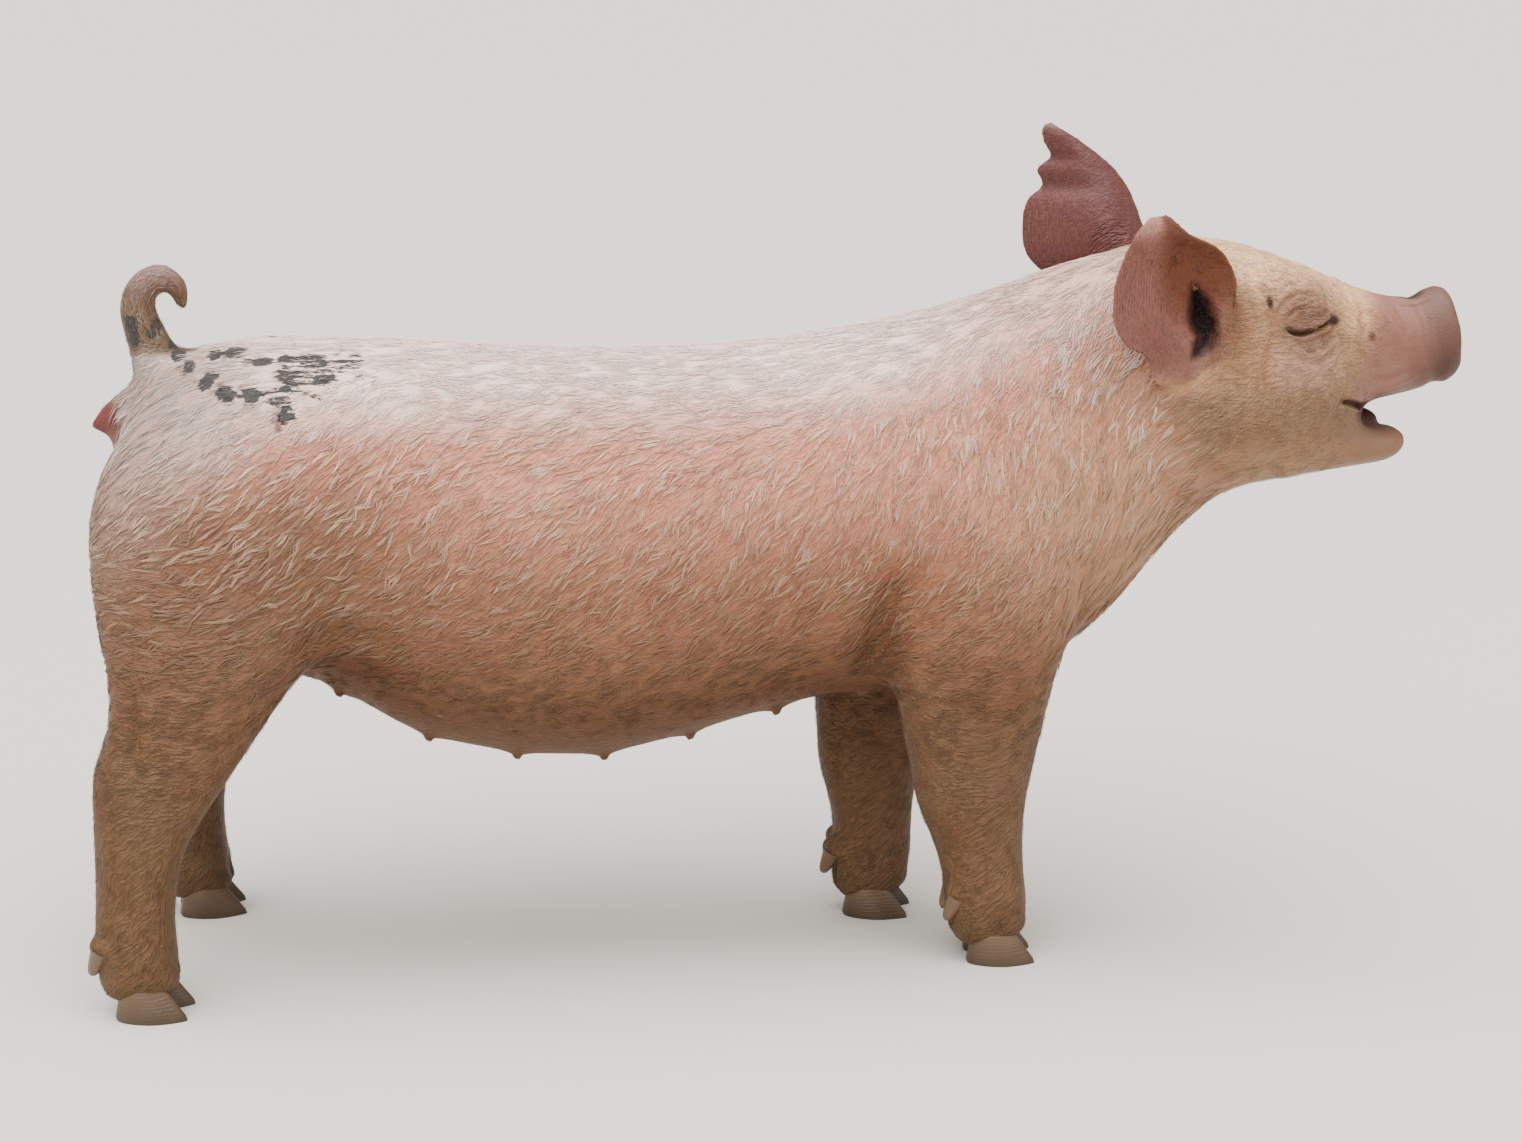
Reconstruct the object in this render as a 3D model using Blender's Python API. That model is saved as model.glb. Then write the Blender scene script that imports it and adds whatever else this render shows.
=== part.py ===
"""A young gilt, about 35 kg, standing with her head raised, as a still, life-size model.

Metres. +X runs towards the snout, +Y to the animal's left, +Z up. The soles stand on Z = 0, and the
origin is below the middle of the animal's bounding box. The flesh is modelled whole: lofted trunk, head,
jaw, legs and tail are fused into one skin, which is then parted with thin cuts into the named pieces.
"""

import math
from collections import namedtuple

import bmesh
import bpy
import numpy as np
from mathutils import Matrix, Vector

# ---------------------------------------------------------------------------------------------
# Driving dimensions
# ---------------------------------------------------------------------------------------------
CUT_GAP = 0.0005  # between two neighbouring pieces
FUSE_VOXEL = 0.004  # grain of the skin that fuses the lofts
FLESH_TRIANGLES = 4100  # of the whole flesh before it is parted
CREASE_PASSES = 40  # how far the armpits, groins and throat are filled out
RING_POINTS = 40

EYE_RADIUS = 0.0105
EYE_CENTRE = Vector((0.3725, 0.0430, 0.4435))  # of the left eye; the right one mirrors it

EAR_THICKNESS = 0.0034

CLAW_LENGTH = 0.050
CLAW_WIDTH = 0.0235
CLAW_HEIGHT = 0.028
CLAW_SIDES = 10
CLAW_SPREAD = 0.0140  # from the foot's midline to a claw's midline
DEWCLAW_LENGTH = 0.021

TEAT_PAIRS = 7
TEAT_HEIGHT = 0.007
TEAT_RADIUS = 0.0042

SKIN_COLOUR = (0.78, 0.55, 0.46)
EAR_COLOUR = (0.66, 0.38, 0.34)
SNOUT_COLOUR = (0.68, 0.42, 0.38)
HORN_COLOUR = (0.30, 0.20, 0.13)
EYE_COLOUR = (0.03, 0.02, 0.015)


# ---------------------------------------------------------------------------------------------
# Lofting: rings through hand-set sections, with smooth rows between them
# ---------------------------------------------------------------------------------------------
def through(rows, steps):
    """A smooth row of values through the given ones, `steps` to each stretch."""
    rows = np.array(rows, float)
    gaps = np.linalg.norm(np.diff(rows[:, :3], axis=0), axis=1)
    slopes = np.diff(rows, axis=0) / gaps[:, None]
    tangents = np.empty_like(rows)
    tangents[0], tangents[-1] = slopes[0], slopes[-1]
    share = (gaps[:-1] / (gaps[:-1] + gaps[1:]))[:, None]
    tangents[1:-1] = slopes[:-1] * (1 - share) + slopes[1:] * share
    made = []
    for i, gap in enumerate(gaps):
        for t in np.arange(steps) / steps:
            made.append(
                rows[i] * (2 * t**3 - 3 * t**2 + 1)
                + rows[i + 1] * (3 * t**2 - 2 * t**3)
                + gap * tangents[i] * (t**3 - 2 * t**2 + t)
                + gap * tangents[i + 1] * (t**3 - t**2)
            )
    made.append(rows[-1])
    return made


def ring(upper, lower, side, half_width, widest, squareness):
    """Points round a superellipse between two extreme points, widest at a share of the way up."""
    upper, lower, side = Vector(upper), Vector(lower), Vector(side)
    middle = lower.lerp(upper, widest)
    points = []
    for i in range(RING_POINTS):
        turn = 2 * math.pi * i / RING_POINTS
        across = math.copysign(abs(math.cos(turn)) ** (2 / squareness), math.cos(turn))
        along = abs(math.sin(turn)) ** (2 / squareness)
        reach = (upper if math.sin(turn) > 0 else lower) - middle
        points.append(middle + side * half_width * across + reach * along)
    return points


def loft(name, rings):
    """A closed mesh object over a row of rings, with a fan over each end."""
    mesh = bmesh.new()
    rows = [[mesh.verts.new(p) for p in points] for points in rings]
    for low, high in zip(rows, rows[1:]):
        for i in range(len(low)):
            j = (i + 1) % len(low)
            mesh.faces.new((low[i], low[j], high[j], high[i]))
    for row, turned in ((rows[0], True), (rows[-1], False)):
        hub = mesh.verts.new(sum((v.co for v in row), Vector()) / len(row))
        for i in range(len(row)):
            pair = (row[i], row[(i + 1) % len(row)])
            mesh.faces.new((*(pair[::-1] if turned else pair), hub))
    bmesh.ops.recalc_face_normals(mesh, faces=mesh.faces)
    return object_from(name, mesh)


def object_from(name, mesh):
    data = bpy.data.meshes.new(name)
    mesh.to_mesh(data)
    mesh.free()
    made = bpy.data.objects.new(name, data)
    bpy.context.scene.collection.objects.link(made)
    return made


# ---------------------------------------------------------------------------------------------
# Trunk, neck and head: one long loft. Each section has a point on the topline and one below it.
# ---------------------------------------------------------------------------------------------
Section = namedtuple("Section", "top_x top_z low_x low_z half_width widest squareness")

BODY = (
    Section(-0.4370, 0.3740, -0.4400, 0.3250, 0.016, 0.50, 2.0),  # between the hams
    Section(-0.4290, 0.3900, -0.4360, 0.3000, 0.036, 0.50, 2.0),
    Section(-0.4170, 0.4050, -0.4290, 0.2800, 0.058, 0.52, 2.1),  # under the tail
    Section(-0.3900, 0.4260, -0.4070, 0.2400, 0.088, 0.54, 2.15),  # tail head
    Section(-0.3500, 0.4360, -0.3560, 0.2160, 0.103, 0.54, 2.2),  # croup
    Section(-0.3000, 0.4365, -0.3000, 0.1990, 0.107, 0.54, 2.2),  # hip
    Section(-0.2450, 0.4340, -0.2450, 0.1650, 0.108, 0.52, 2.2),  # flank
    Section(-0.1780, 0.4295, -0.1780, 0.1470, 0.110, 0.50, 2.2),  # loin
    Section(-0.1100, 0.4270, -0.1130, 0.1440, 0.113, 0.48, 2.2),  # deepest belly
    Section(-0.0420, 0.4275, -0.0450, 0.1590, 0.112, 0.48, 2.15),  # ribs
    Section(0.0200, 0.4330, 0.0200, 0.1760, 0.107, 0.49, 2.1),  # heart girth
    Section(0.0820, 0.4430, 0.0850, 0.1860, 0.102, 0.50, 2.1),  # withers
    Section(0.1230, 0.4520, 0.1450, 0.1900, 0.099, 0.49, 2.1),  # shoulder
    Section(0.1620, 0.4640, 0.2050, 0.2060, 0.094, 0.48, 2.1),  # brisket
    Section(0.1930, 0.4750, 0.2430, 0.2370, 0.087, 0.46, 2.1),  # front of the chest
    Section(0.2200, 0.4830, 0.2690, 0.2690, 0.081, 0.44, 2.1),  # neck
    Section(0.2480, 0.4900, 0.2940, 0.2970, 0.077, 0.42, 2.1),  # behind the ears
    Section(0.2730, 0.4970, 0.3190, 0.3165, 0.076, 0.40, 2.15),  # poll and jowl
    Section(0.2970, 0.4990, 0.3460, 0.3255, 0.074, 0.38, 2.2),  # forehead
    Section(0.3300, 0.4935, 0.3780, 0.3290, 0.067, 0.40, 2.2),  # temples
    Section(0.3640, 0.4830, 0.4040, 0.3480, 0.056, 0.46, 2.2),  # eyes
    Section(0.3950, 0.4705, 0.4190, 0.3770, 0.044, 0.50, 2.2),  # corner of the mouth
    Section(0.4250, 0.4585, 0.4400, 0.3830, 0.034, 0.48, 2.2),  # bridge of the nose
    Section(0.4480, 0.4545, 0.4590, 0.3870, 0.0285, 0.48, 2.2),  # muzzle
    Section(0.4650, 0.4575, 0.4750, 0.3920, 0.0275, 0.48, 2.1),  # behind the disc
    Section(0.4750, 0.4620, 0.4860, 0.3960, 0.0300, 0.50, 2.05),  # rim of the disc
    Section(0.4800, 0.4590, 0.4905, 0.4000, 0.0285, 0.50, 2.05),  # face of the disc
)

JAW = (
    Section(0.3500, 0.4000, 0.3700, 0.3300, 0.048, 0.50, 2.1),  # inside the cheeks
    Section(0.3850, 0.3840, 0.3980, 0.3320, 0.044, 0.50, 2.1),
    Section(0.4080, 0.3710, 0.4150, 0.3350, 0.038, 0.55, 2.1),  # corner of the mouth
    Section(0.4280, 0.3640, 0.4320, 0.3370, 0.0310, 0.58, 2.2),
    Section(0.4440, 0.3640, 0.4470, 0.3410, 0.0250, 0.58, 2.2),  # chin
    Section(0.4540, 0.3620, 0.4560, 0.3490, 0.0150, 0.58, 2.1),
)


def lengthwise(name, sections):
    """A loft whose rings stand across the animal's length."""
    rows = [(s.top_x, s.top_z, s.low_x, s.low_z, *s[4:]) for s in sections]
    rings = [
        ring((top_x, 0, top_z), (low_x, 0, low_z), (0, 1, 0), half_width, widest, squareness)
        for top_x, top_z, low_x, low_z, half_width, widest, squareness in through(rows, 4)
    ]
    return loft(name, rings)


# ---------------------------------------------------------------------------------------------
# Legs: lofts whose rings lie level. Each level has a back and a front edge.
# ---------------------------------------------------------------------------------------------
Level = namedtuple("Level", "height back front middle_y half_width squareness")

FORELEG = (
    Level(0.420, 0.092, 0.140, 0.046, 0.020, 2.0),  # top of the shoulder blade
    Level(0.375, 0.068, 0.176, 0.056, 0.036, 2.0),
    Level(0.325, 0.058, 0.203, 0.063, 0.042, 2.0),  # shoulder
    Level(0.280, 0.062, 0.214, 0.065, 0.042, 2.0),  # point of the shoulder
    Level(0.240, 0.074, 0.208, 0.066, 0.0395, 2.1),  # elbow
    Level(0.205, 0.083, 0.197, 0.065, 0.036, 2.1),
    Level(0.170, 0.089, 0.190, 0.063, 0.032, 2.1),  # forearm
    Level(0.140, 0.095, 0.184, 0.061, 0.029, 2.1),
    Level(0.112, 0.101, 0.179, 0.059, 0.0280, 2.2),  # knee
    Level(0.085, 0.113, 0.178, 0.057, 0.0245, 2.2),  # cannon
    Level(0.062, 0.120, 0.179, 0.056, 0.0260, 2.3),  # fetlock
    Level(0.042, 0.123, 0.181, 0.055, 0.0270, 2.4),  # pastern
    Level(0.026, 0.124, 0.180, 0.054, 0.0260, 2.4),  # coronet
    Level(0.016, 0.127, 0.172, 0.054, 0.0225, 2.4),  # inside the claws
    Level(0.011, 0.133, 0.164, 0.054, 0.0160, 2.4),
)

HINDLEG = (
    Level(0.415, -0.385, -0.300, 0.048, 0.026, 2.0),  # inside the croup
    Level(0.375, -0.432, -0.276, 0.057, 0.046, 2.0),
    Level(0.330, -0.449, -0.268, 0.064, 0.052, 2.1),  # ham
    Level(0.285, -0.450, -0.274, 0.068, 0.050, 2.1),
    Level(0.250, -0.446, -0.290, 0.072, 0.046, 2.1),  # stifle
    Level(0.215, -0.441, -0.318, 0.078, 0.039, 2.1),
    Level(0.188, -0.443, -0.338, 0.084, 0.033, 2.1),  # second thigh
    Level(0.165, -0.453, -0.354, 0.090, 0.0285, 2.1),  # point of the hock
    Level(0.138, -0.454, -0.373, 0.095, 0.0260, 2.1),  # hock
    Level(0.110, -0.453, -0.391, 0.099, 0.0245, 2.2),
    Level(0.082, -0.453, -0.398, 0.101, 0.0240, 2.2),  # cannon
    Level(0.060, -0.454, -0.400, 0.103, 0.0260, 2.3),  # fetlock
    Level(0.042, -0.454, -0.399, 0.104, 0.0270, 2.4),  # pastern
    Level(0.026, -0.453, -0.398, 0.104, 0.0260, 2.4),  # coronet
    Level(0.016, -0.450, -0.405, 0.104, 0.0225, 2.4),  # inside the claws
    Level(0.011, -0.444, -0.412, 0.104, 0.0160, 2.4),
)

# How far each foot stands ahead of its usual place, and how much its toes turn towards the midline.
Stance = namedtuple("Stance", "name levels side reach swings_below toe_in")
STANCES = (
    Stance("fore_right", FORELEG, -1, 0.0, 0.36, math.radians(-4)),
    Stance("fore_left", FORELEG, 1, -0.071, 0.36, math.radians(12)),
    Stance("hind_right", HINDLEG, -1, 0.0, 0.25, math.radians(-5)),
    Stance("hind_left", HINDLEG, 1, 0.022, 0.25, math.radians(-5)),
)


# Where a leg is parted from the trunk: a slanted cut from the groin or armpit up to the outer skin.
Seam = namedtuple(
    "Seam", "back front inner_y inner_back_z inner_front_z outer_back_z outer_front_z"
)
FORE_SEAM = Seam(0.071, 0.235, 0.012, 0.172, 0.182, 0.300, 0.300)
HIND_SEAM = Seam(-0.500, -0.282, 0.012, 0.235, 0.195, 0.330, 0.290)


def swing(stance, height):
    """How far forward a leg has swung at this height."""
    share = max(0.0, 1 - height / stance.swings_below)
    return stance.reach * share**0.7


def leg(stance):
    rings = []
    for height, back, front, middle_y, half_width, squareness in through(stance.levels, 4):
        ahead = swing(stance, height)
        y = stance.side * middle_y
        rings.append(
            ring(
                (front + ahead, y, height),
                (back + ahead, y, height),
                (0, 1, 0),
                half_width,
                0.5,
                squareness,
            )
        )
    return loft("leg_" + stance.name, rings)


def foot_place(stance):
    """The matrix that sets a foot, modelled about its own middle, under its leg."""
    last = stance.levels[-3]
    middle = Vector(((last.back + last.front) / 2 + swing(stance, 0), stance.side * last.middle_y, 0))
    return Matrix.Translation(middle) @ Matrix.Rotation(-stance.side * stance.toe_in, 4, "Z")


# ---------------------------------------------------------------------------------------------
# Tail, vulva and teats
# ---------------------------------------------------------------------------------------------
TAIL = (  # x, y, z, radius: up from the croup, then hooked forward over the back
    (-0.3950, 0.000, 0.3980, 0.0190),
    (-0.4050, 0.000, 0.4170, 0.0180),
    (-0.4125, 0.001, 0.4370, 0.0160),
    (-0.4190, 0.002, 0.4560, 0.0137),
    (-0.4160, 0.004, 0.4715, 0.0118),
    (-0.4040, 0.006, 0.4790, 0.0103),
    (-0.3920, 0.008, 0.4730, 0.0090),
    (-0.3885, 0.009, 0.4610, 0.0076),
    (-0.3920, 0.009, 0.4530, 0.0050),
)

VULVA = (  # x, y, z, radius
    (-0.4150, 0.0, 0.3930, 0.0170),
    (-0.4330, 0.0, 0.3870, 0.0145),
    (-0.4460, 0.0, 0.3800, 0.0095),
    (-0.4560, 0.0, 0.3770, 0.0045),
    (-0.4600, 0.0, 0.3765, 0.0015),
)


def tube(name, path, flat=1.0):
    """A round tube along a smooth path, its rings square to the path; `flat` narrows it sideways."""
    rows = through(path, 4)
    rings = []
    for i, row in enumerate(rows):
        ahead = Vector(rows[min(i + 1, len(rows) - 1)][:3]) - Vector(rows[max(i - 1, 0)][:3])
        across = Vector((0, 1, 0))
        rise = ahead.cross(across).normalized() * row[3]
        middle = Vector(row[:3])
        rings.append(ring(middle + rise, middle - rise, across, row[3] * flat, 0.5, 2.0))
    return loft(name, rings)


def belly_height(x):
    """Height of the underline below this point of the trunk."""
    line = sorted((s.low_x, s.low_z) for s in BODY[2:14])
    return float(np.interp(x, [p[0] for p in line], [p[1] for p in line]))


BULGES = (  # x, y, z of the middle, then the reach along x, y and z; each is mirrored
    (0.3160, 0.0500, 0.3850, 0.050, 0.0280, 0.046),  # jowl
    (0.3600, 0.0350, 0.4620, 0.026, 0.0130, 0.014),  # brow
    (0.4280, 0.0210, 0.4050, 0.030, 0.0135, 0.018),  # side of the upper lip
    (0.3950, 0.0220, 0.3560, 0.028, 0.0170, 0.018),  # corner of the jaw
)


def ellipsoid(name, centre, reach):
    mesh = bmesh.new()
    bmesh.ops.create_uvsphere(mesh, u_segments=20, v_segments=12, radius=1)
    place = Matrix.Translation(centre) @ Matrix.Diagonal((*reach, 1))
    bmesh.ops.transform(mesh, matrix=place, verts=mesh.verts)
    return object_from(name, mesh)


GAPE = ((0.4570, 0.0, 0.3715), (0.0400, 0.050, 0.0085), math.radians(10))


def gape():
    """The wedge of air between the lips, from the corner of the mouth forwards."""
    centre, reach, slope = GAPE
    air = ellipsoid("gape", (0, 0, 0), reach)
    air.data.transform(Matrix.Translation(centre) @ Matrix.Rotation(slope, 4, "Y"))
    return air


def bulges():
    return [
        ellipsoid("bulge", (x, side * y, z), reach)
        for x, y, z, *reach in BULGES
        for side in (-1, 1)
    ]


def teats():
    made = []
    for pair in range(TEAT_PAIRS):
        x = -0.292 + 0.060 * pair
        for side in (-1, 1):
            centre = (x, side * (0.040 - 0.002 * pair), belly_height(x) + 0.005)
            made.append(ellipsoid("teat", centre, (TEAT_RADIUS, TEAT_RADIUS, TEAT_HEIGHT)))
    return made


# ---------------------------------------------------------------------------------------------
# Ears: a cupped leaf in level rows. Its opening looks outwards, its two rims stand away from the
# head, and the hollow between them is deepest nearer the front, over the ear canal.
# ---------------------------------------------------------------------------------------------
EarRow = namedtuple("EarRow", "back_x back_y height front_x front_y depth")

EAR_RIGHT = (  # turned to the side, with one notch cut low in its rear rim
    EarRow(0.2570, 0.0860, 0.4050, 0.2780, 0.0770, 0.003),  # hanging lobe
    EarRow(0.2490, 0.0920, 0.4150, 0.2920, 0.0740, 0.006),
    EarRow(0.2470, 0.0950, 0.4260, 0.3010, 0.0700, 0.009),  # notch
    EarRow(0.2300, 0.1000, 0.4360, 0.3060, 0.0660, 0.012),
    EarRow(0.2210, 0.1040, 0.4500, 0.3130, 0.0630, 0.015),
    EarRow(0.2190, 0.1070, 0.4660, 0.3150, 0.0630, 0.017),  # widest
    EarRow(0.2210, 0.1080, 0.4830, 0.3100, 0.0680, 0.018),
    EarRow(0.2270, 0.1070, 0.4980, 0.2960, 0.0790, 0.015),
    EarRow(0.2320, 0.1060, 0.5080, 0.2740, 0.0940, 0.011),
    EarRow(0.2380, 0.1050, 0.5160, 0.2640, 0.0990, 0.006),
    EarRow(0.2440, 0.1040, 0.5225, 0.2560, 0.1010, 0.002),  # tip
)

EAR_LEFT = (  # pricked higher, with two notches in its rear rim
    EarRow(0.2500, 0.0700, 0.4350, 0.2800, 0.0690, 0.006),
    EarRow(0.2200, 0.0820, 0.4560, 0.2900, 0.0700, 0.018),
    EarRow(0.1990, 0.0900, 0.4770, 0.2880, 0.0700, 0.026),
    EarRow(0.1970, 0.0940, 0.5000, 0.2800, 0.0720, 0.026),  # widest
    EarRow(0.2010, 0.0940, 0.5160, 0.2740, 0.0740, 0.022),
    EarRow(0.2110, 0.0930, 0.5260, 0.2690, 0.0760, 0.018),  # notch
    EarRow(0.2060, 0.0920, 0.5370, 0.2610, 0.0780, 0.014),
    EarRow(0.2160, 0.0900, 0.5460, 0.2510, 0.0800, 0.011),  # notch
    EarRow(0.2100, 0.0880, 0.5560, 0.2380, 0.0820, 0.007),
    EarRow(0.2080, 0.0860, 0.5650, 0.2240, 0.0830, 0.004),
    EarRow(0.2110, 0.0850, 0.5710, 0.2140, 0.0840, 0.001),  # tip
)
EAR_COLUMNS = 8


def ear_leaf(name, ear_rows, side):
    mesh = bmesh.new()
    rows = []
    for row in through(ear_rows, 1):
        back_x, back_y, height, front_x, front_y, depth = row
        points = []
        for j in range(EAR_COLUMNS):
            share = j / (EAR_COLUMNS - 1)
            hollow = math.sin(math.pi * share**1.35) ** 0.8 if 0 < j < EAR_COLUMNS - 1 else 0.0
            x = back_x + (front_x - back_x) * share
            y = back_y + (front_y - back_y) * share - depth * hollow
            points.append(mesh.verts.new((x, side * y, height)))
        rows.append(points)
    for low, high in zip(rows, rows[1:]):
        for j in range(EAR_COLUMNS - 1):
            mesh.faces.new((low[j], low[j + 1], high[j + 1], high[j]))
    made = object_from(name, mesh)
    wall = made.modifiers.new("wall", "SOLIDIFY")
    wall.thickness = EAR_THICKNESS
    wall.offset = 0
    return baked(made)


# ---------------------------------------------------------------------------------------------
# Claws and eyes
# ---------------------------------------------------------------------------------------------
def claw(name, place, side):
    """One half of the cloven hoof: a flat sole, a sloping toe wall and a low heel."""
    outline = []
    for i in range(CLAW_SIDES):
        turn = 2 * math.pi * i / CLAW_SIDES
        x, y = math.cos(turn), math.sin(turn)
        pointed = 1 - 0.42 * max(0.0, x) ** 1.5
        outline.append((x * CLAW_LENGTH / 2, y * pointed * CLAW_WIDTH / 2))
    mesh = bmesh.new()
    rows = []
    for share in (0.0, 0.25, 1.0):
        height = 0.0 if share == 0 else share * CLAW_HEIGHT
        row = []
        for x, y in outline:
            ahead = (x / CLAW_LENGTH + 0.5) * share
            rolled = 0.93 if share == 0 else 1 - 0.16 * share
            tip = height * (0.74 + 0.26 * (x / CLAW_LENGTH + 0.5))
            row.append(mesh.verts.new((x * rolled - 0.017 * ahead, y * rolled, tip)))
        rows.append(row)
    for low, high in zip(rows, rows[1:]):
        for i in range(CLAW_SIDES):
            j = (i + 1) % CLAW_SIDES
            mesh.faces.new((low[i], low[j], high[j], high[i]))
    mesh.faces.new(rows[0][::-1])
    mesh.faces.new(rows[-1])
    splay = Matrix.Rotation(side * math.radians(4), 4, "Z")
    shift = Matrix.Translation((0.010, side * CLAW_SPREAD, 0))
    bmesh.ops.transform(mesh, matrix=place @ shift @ splay, verts=mesh.verts)
    bmesh.ops.triangulate(mesh, faces=mesh.faces)
    bmesh.ops.recalc_face_normals(mesh, faces=mesh.faces)
    return object_from(name, mesh)


def dewclaw(name, place, side):
    """A small blunt cone behind the pastern, pointing down and back."""
    mesh = bmesh.new()
    bmesh.ops.create_cone(
        mesh, cap_ends=True, segments=10, radius1=0.0074, radius2=0.0034, depth=DEWCLAW_LENGTH
    )
    lean = Matrix.Rotation(math.radians(180 + 24), 4, "Y") @ Matrix.Rotation(side * 0.2, 4, "X")
    spot = Matrix.Translation((-0.0250, side * 0.0145, 0.0400))
    bmesh.ops.transform(mesh, matrix=place @ spot @ lean, verts=mesh.verts)
    return object_from(name, mesh)


def eyeball(name, side):
    mesh = bmesh.new()
    bmesh.ops.create_uvsphere(mesh, u_segments=14, v_segments=8, radius=EYE_RADIUS)
    centre = Vector((EYE_CENTRE.x, side * EYE_CENTRE.y, EYE_CENTRE.z))
    bmesh.ops.transform(mesh, matrix=Matrix.Translation(centre), verts=mesh.verts)
    return object_from(name, mesh)


# ---------------------------------------------------------------------------------------------
# Fusing and parting
# ---------------------------------------------------------------------------------------------
def baked(obj):
    """Replaces an object's mesh by what its modifiers make of it."""
    graph = bpy.context.evaluated_depsgraph_get()
    mesh = bpy.data.meshes.new_from_object(obj.evaluated_get(graph))
    obj.modifiers.clear()
    obj.data = mesh
    return obj


def joined(name, objects):
    mesh = bmesh.new()
    for obj in objects:
        mesh.from_mesh(obj.data)
        bpy.data.objects.remove(obj)
    return object_from(name, mesh)


def fill_creases(obj, passes):
    """Fills the sharp hollows where lofts meet, as flesh does, and leaves what bulges alone."""
    data = obj.data
    count = len(data.vertices)
    points, normals = np.empty(count * 3), np.empty(count * 3)
    ends = np.empty(len(data.edges) * 2, int)
    data.edges.foreach_get("vertices", ends)
    ends = ends.reshape(-1, 2)
    valence = np.bincount(ends.ravel(), minlength=count)[:, None]
    for _ in range(passes):
        data.vertices.foreach_get("co", points)
        data.vertices.foreach_get("normal", normals)
        place, out = points.reshape(-1, 3), normals.reshape(-1, 3)
        pull = np.stack(
            [
                np.bincount(ends[:, 0], place[ends[:, 1], k], count)
                + np.bincount(ends[:, 1], place[ends[:, 0], k], count)
                for k in range(3)
            ],
            axis=1,
        )
        pull = pull / valence - place
        hollow = (pull * out).sum(axis=1, keepdims=True) > 0
        data.vertices.foreach_set("co", (place + pull * np.where(hollow, 0.6, 0.12)).ravel())
        data.update()


def fused(name, objects):
    """One skin over all the overlapping lofts."""
    whole = joined(name, objects)
    fuse = whole.modifiers.new("fuse", "REMESH")
    fuse.mode = "VOXEL"
    fuse.voxel_size = FUSE_VOXEL
    baked(whole)
    fill_creases(whole, CREASE_PASSES)
    air = gape()
    cut(whole, air, "DIFFERENCE")
    bpy.data.objects.remove(air)
    thin = whole.modifiers.new("thin", "DECIMATE")
    thin.ratio = FLESH_TRIANGLES / (2 * len(whole.data.polygons))
    thin.use_collapse_triangulate = True
    baked(whole)
    return whole


def copy_of(obj, name):
    made = bpy.data.objects.new(name, obj.data.copy())
    bpy.context.scene.collection.objects.link(made)
    return made


def cut(obj, tool, operation):
    step = obj.modifiers.new("cut", "BOOLEAN")
    step.operation = operation
    step.object = tool
    return baked(obj)


def block(low, high, turn, about, grow):
    """A box turned about Y round a point of the cut; `grow` swells every side."""
    mesh = bmesh.new()
    bmesh.ops.create_cube(mesh, size=1)
    low, high = Vector(low) - Vector((grow,) * 3), Vector(high) + Vector((grow,) * 3)
    size = Matrix.Diagonal((*(high - low), 1))
    place = Matrix.Translation(about) @ Matrix.Rotation(turn, 4, "Y")
    bmesh.ops.transform(
        mesh, matrix=place @ Matrix.Translation((low + high) / 2) @ size, verts=mesh.verts
    )
    return object_from("block", mesh)


def leg_region(stance, grow):
    """The space that holds one leg: a flared prism whose slanted top follows the groin or armpit."""
    seam = FORE_SEAM if stance.levels is FORELEG else HIND_SEAM
    mesh = bmesh.new()
    ahead = swing(stance, 0.2)
    corners = (
        (seam.back - grow, seam.inner_y - grow, seam.inner_back_z + grow),
        (seam.front + grow, seam.inner_y - grow, seam.inner_front_z + grow),
        (seam.front + grow, 0.2, seam.outer_front_z + grow),
        (seam.back - grow, 0.2, seam.outer_back_z + grow),
    )
    top = [mesh.verts.new((x + ahead, stance.side * y, z)) for x, y, z in corners]
    flare = (-0.12, 0.12, 0.12, -0.12)
    foot = [
        mesh.verts.new((x + ahead + wider, stance.side * y, -0.1))
        for (x, y, z), wider in zip(corners, flare)
    ]
    for i in range(4):
        j = (i + 1) % 4
        mesh.faces.new((top[i], top[j], foot[j], foot[i]))
    mesh.faces.new(top[::-1])
    mesh.faces.new(foot)
    bmesh.ops.triangulate(mesh, faces=mesh.faces)
    bmesh.ops.recalc_face_normals(mesh, faces=mesh.faces)
    return object_from("region", mesh)


def parted(obj, name, region, *shape):
    """Takes what lies in a region out of an object as a piece of its own, a thin gap apart."""
    piece = copy_of(obj, name)
    inside = region(*shape, 0)
    wider = region(*shape, CUT_GAP)
    cut(piece, inside, "INTERSECT")
    cut(obj, wider, "DIFFERENCE")
    for tool in (inside, wider):
        bpy.data.objects.remove(tool)
    return piece


def room_for(obj, tool):
    """Cuts a swollen shape out of an object, then drops the swollen shape."""
    cut(obj, tool, "DIFFERENCE")
    bpy.data.objects.remove(tool)


def swollen_skin(obj, gap):
    """A copy of a smooth skin, pushed out by the gap."""
    tool = copy_of(obj, "swollen")
    swell = tool.modifiers.new("swell", "DISPLACE")
    swell.strength = gap
    swell.mid_level = 0
    return baked(tool)


def swollen_lump(obj, gap):
    """A copy of a rounded lump, scaled up about its middle by the gap on every side."""
    tool = copy_of(obj, "swollen")
    corners = np.array([v.co for v in tool.data.vertices])
    low, high = corners.min(axis=0), corners.max(axis=0)
    middle = Matrix.Translation((low + high) / 2)
    factors = 1 + 2 * gap / (high - low)
    tool.data.transform(middle @ Matrix.Diagonal((*factors, 1)) @ middle.inverted())
    return tool


def material(name, colour, roughness):
    made = bpy.data.materials.new(name)
    made.use_nodes = True
    shader = made.node_tree.nodes["Principled BSDF"]
    shader.inputs["Base Color"].default_value = (*colour, 1)
    shader.inputs["Roughness"].default_value = roughness
    shader.inputs["Metallic"].default_value = 0
    return made


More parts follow.
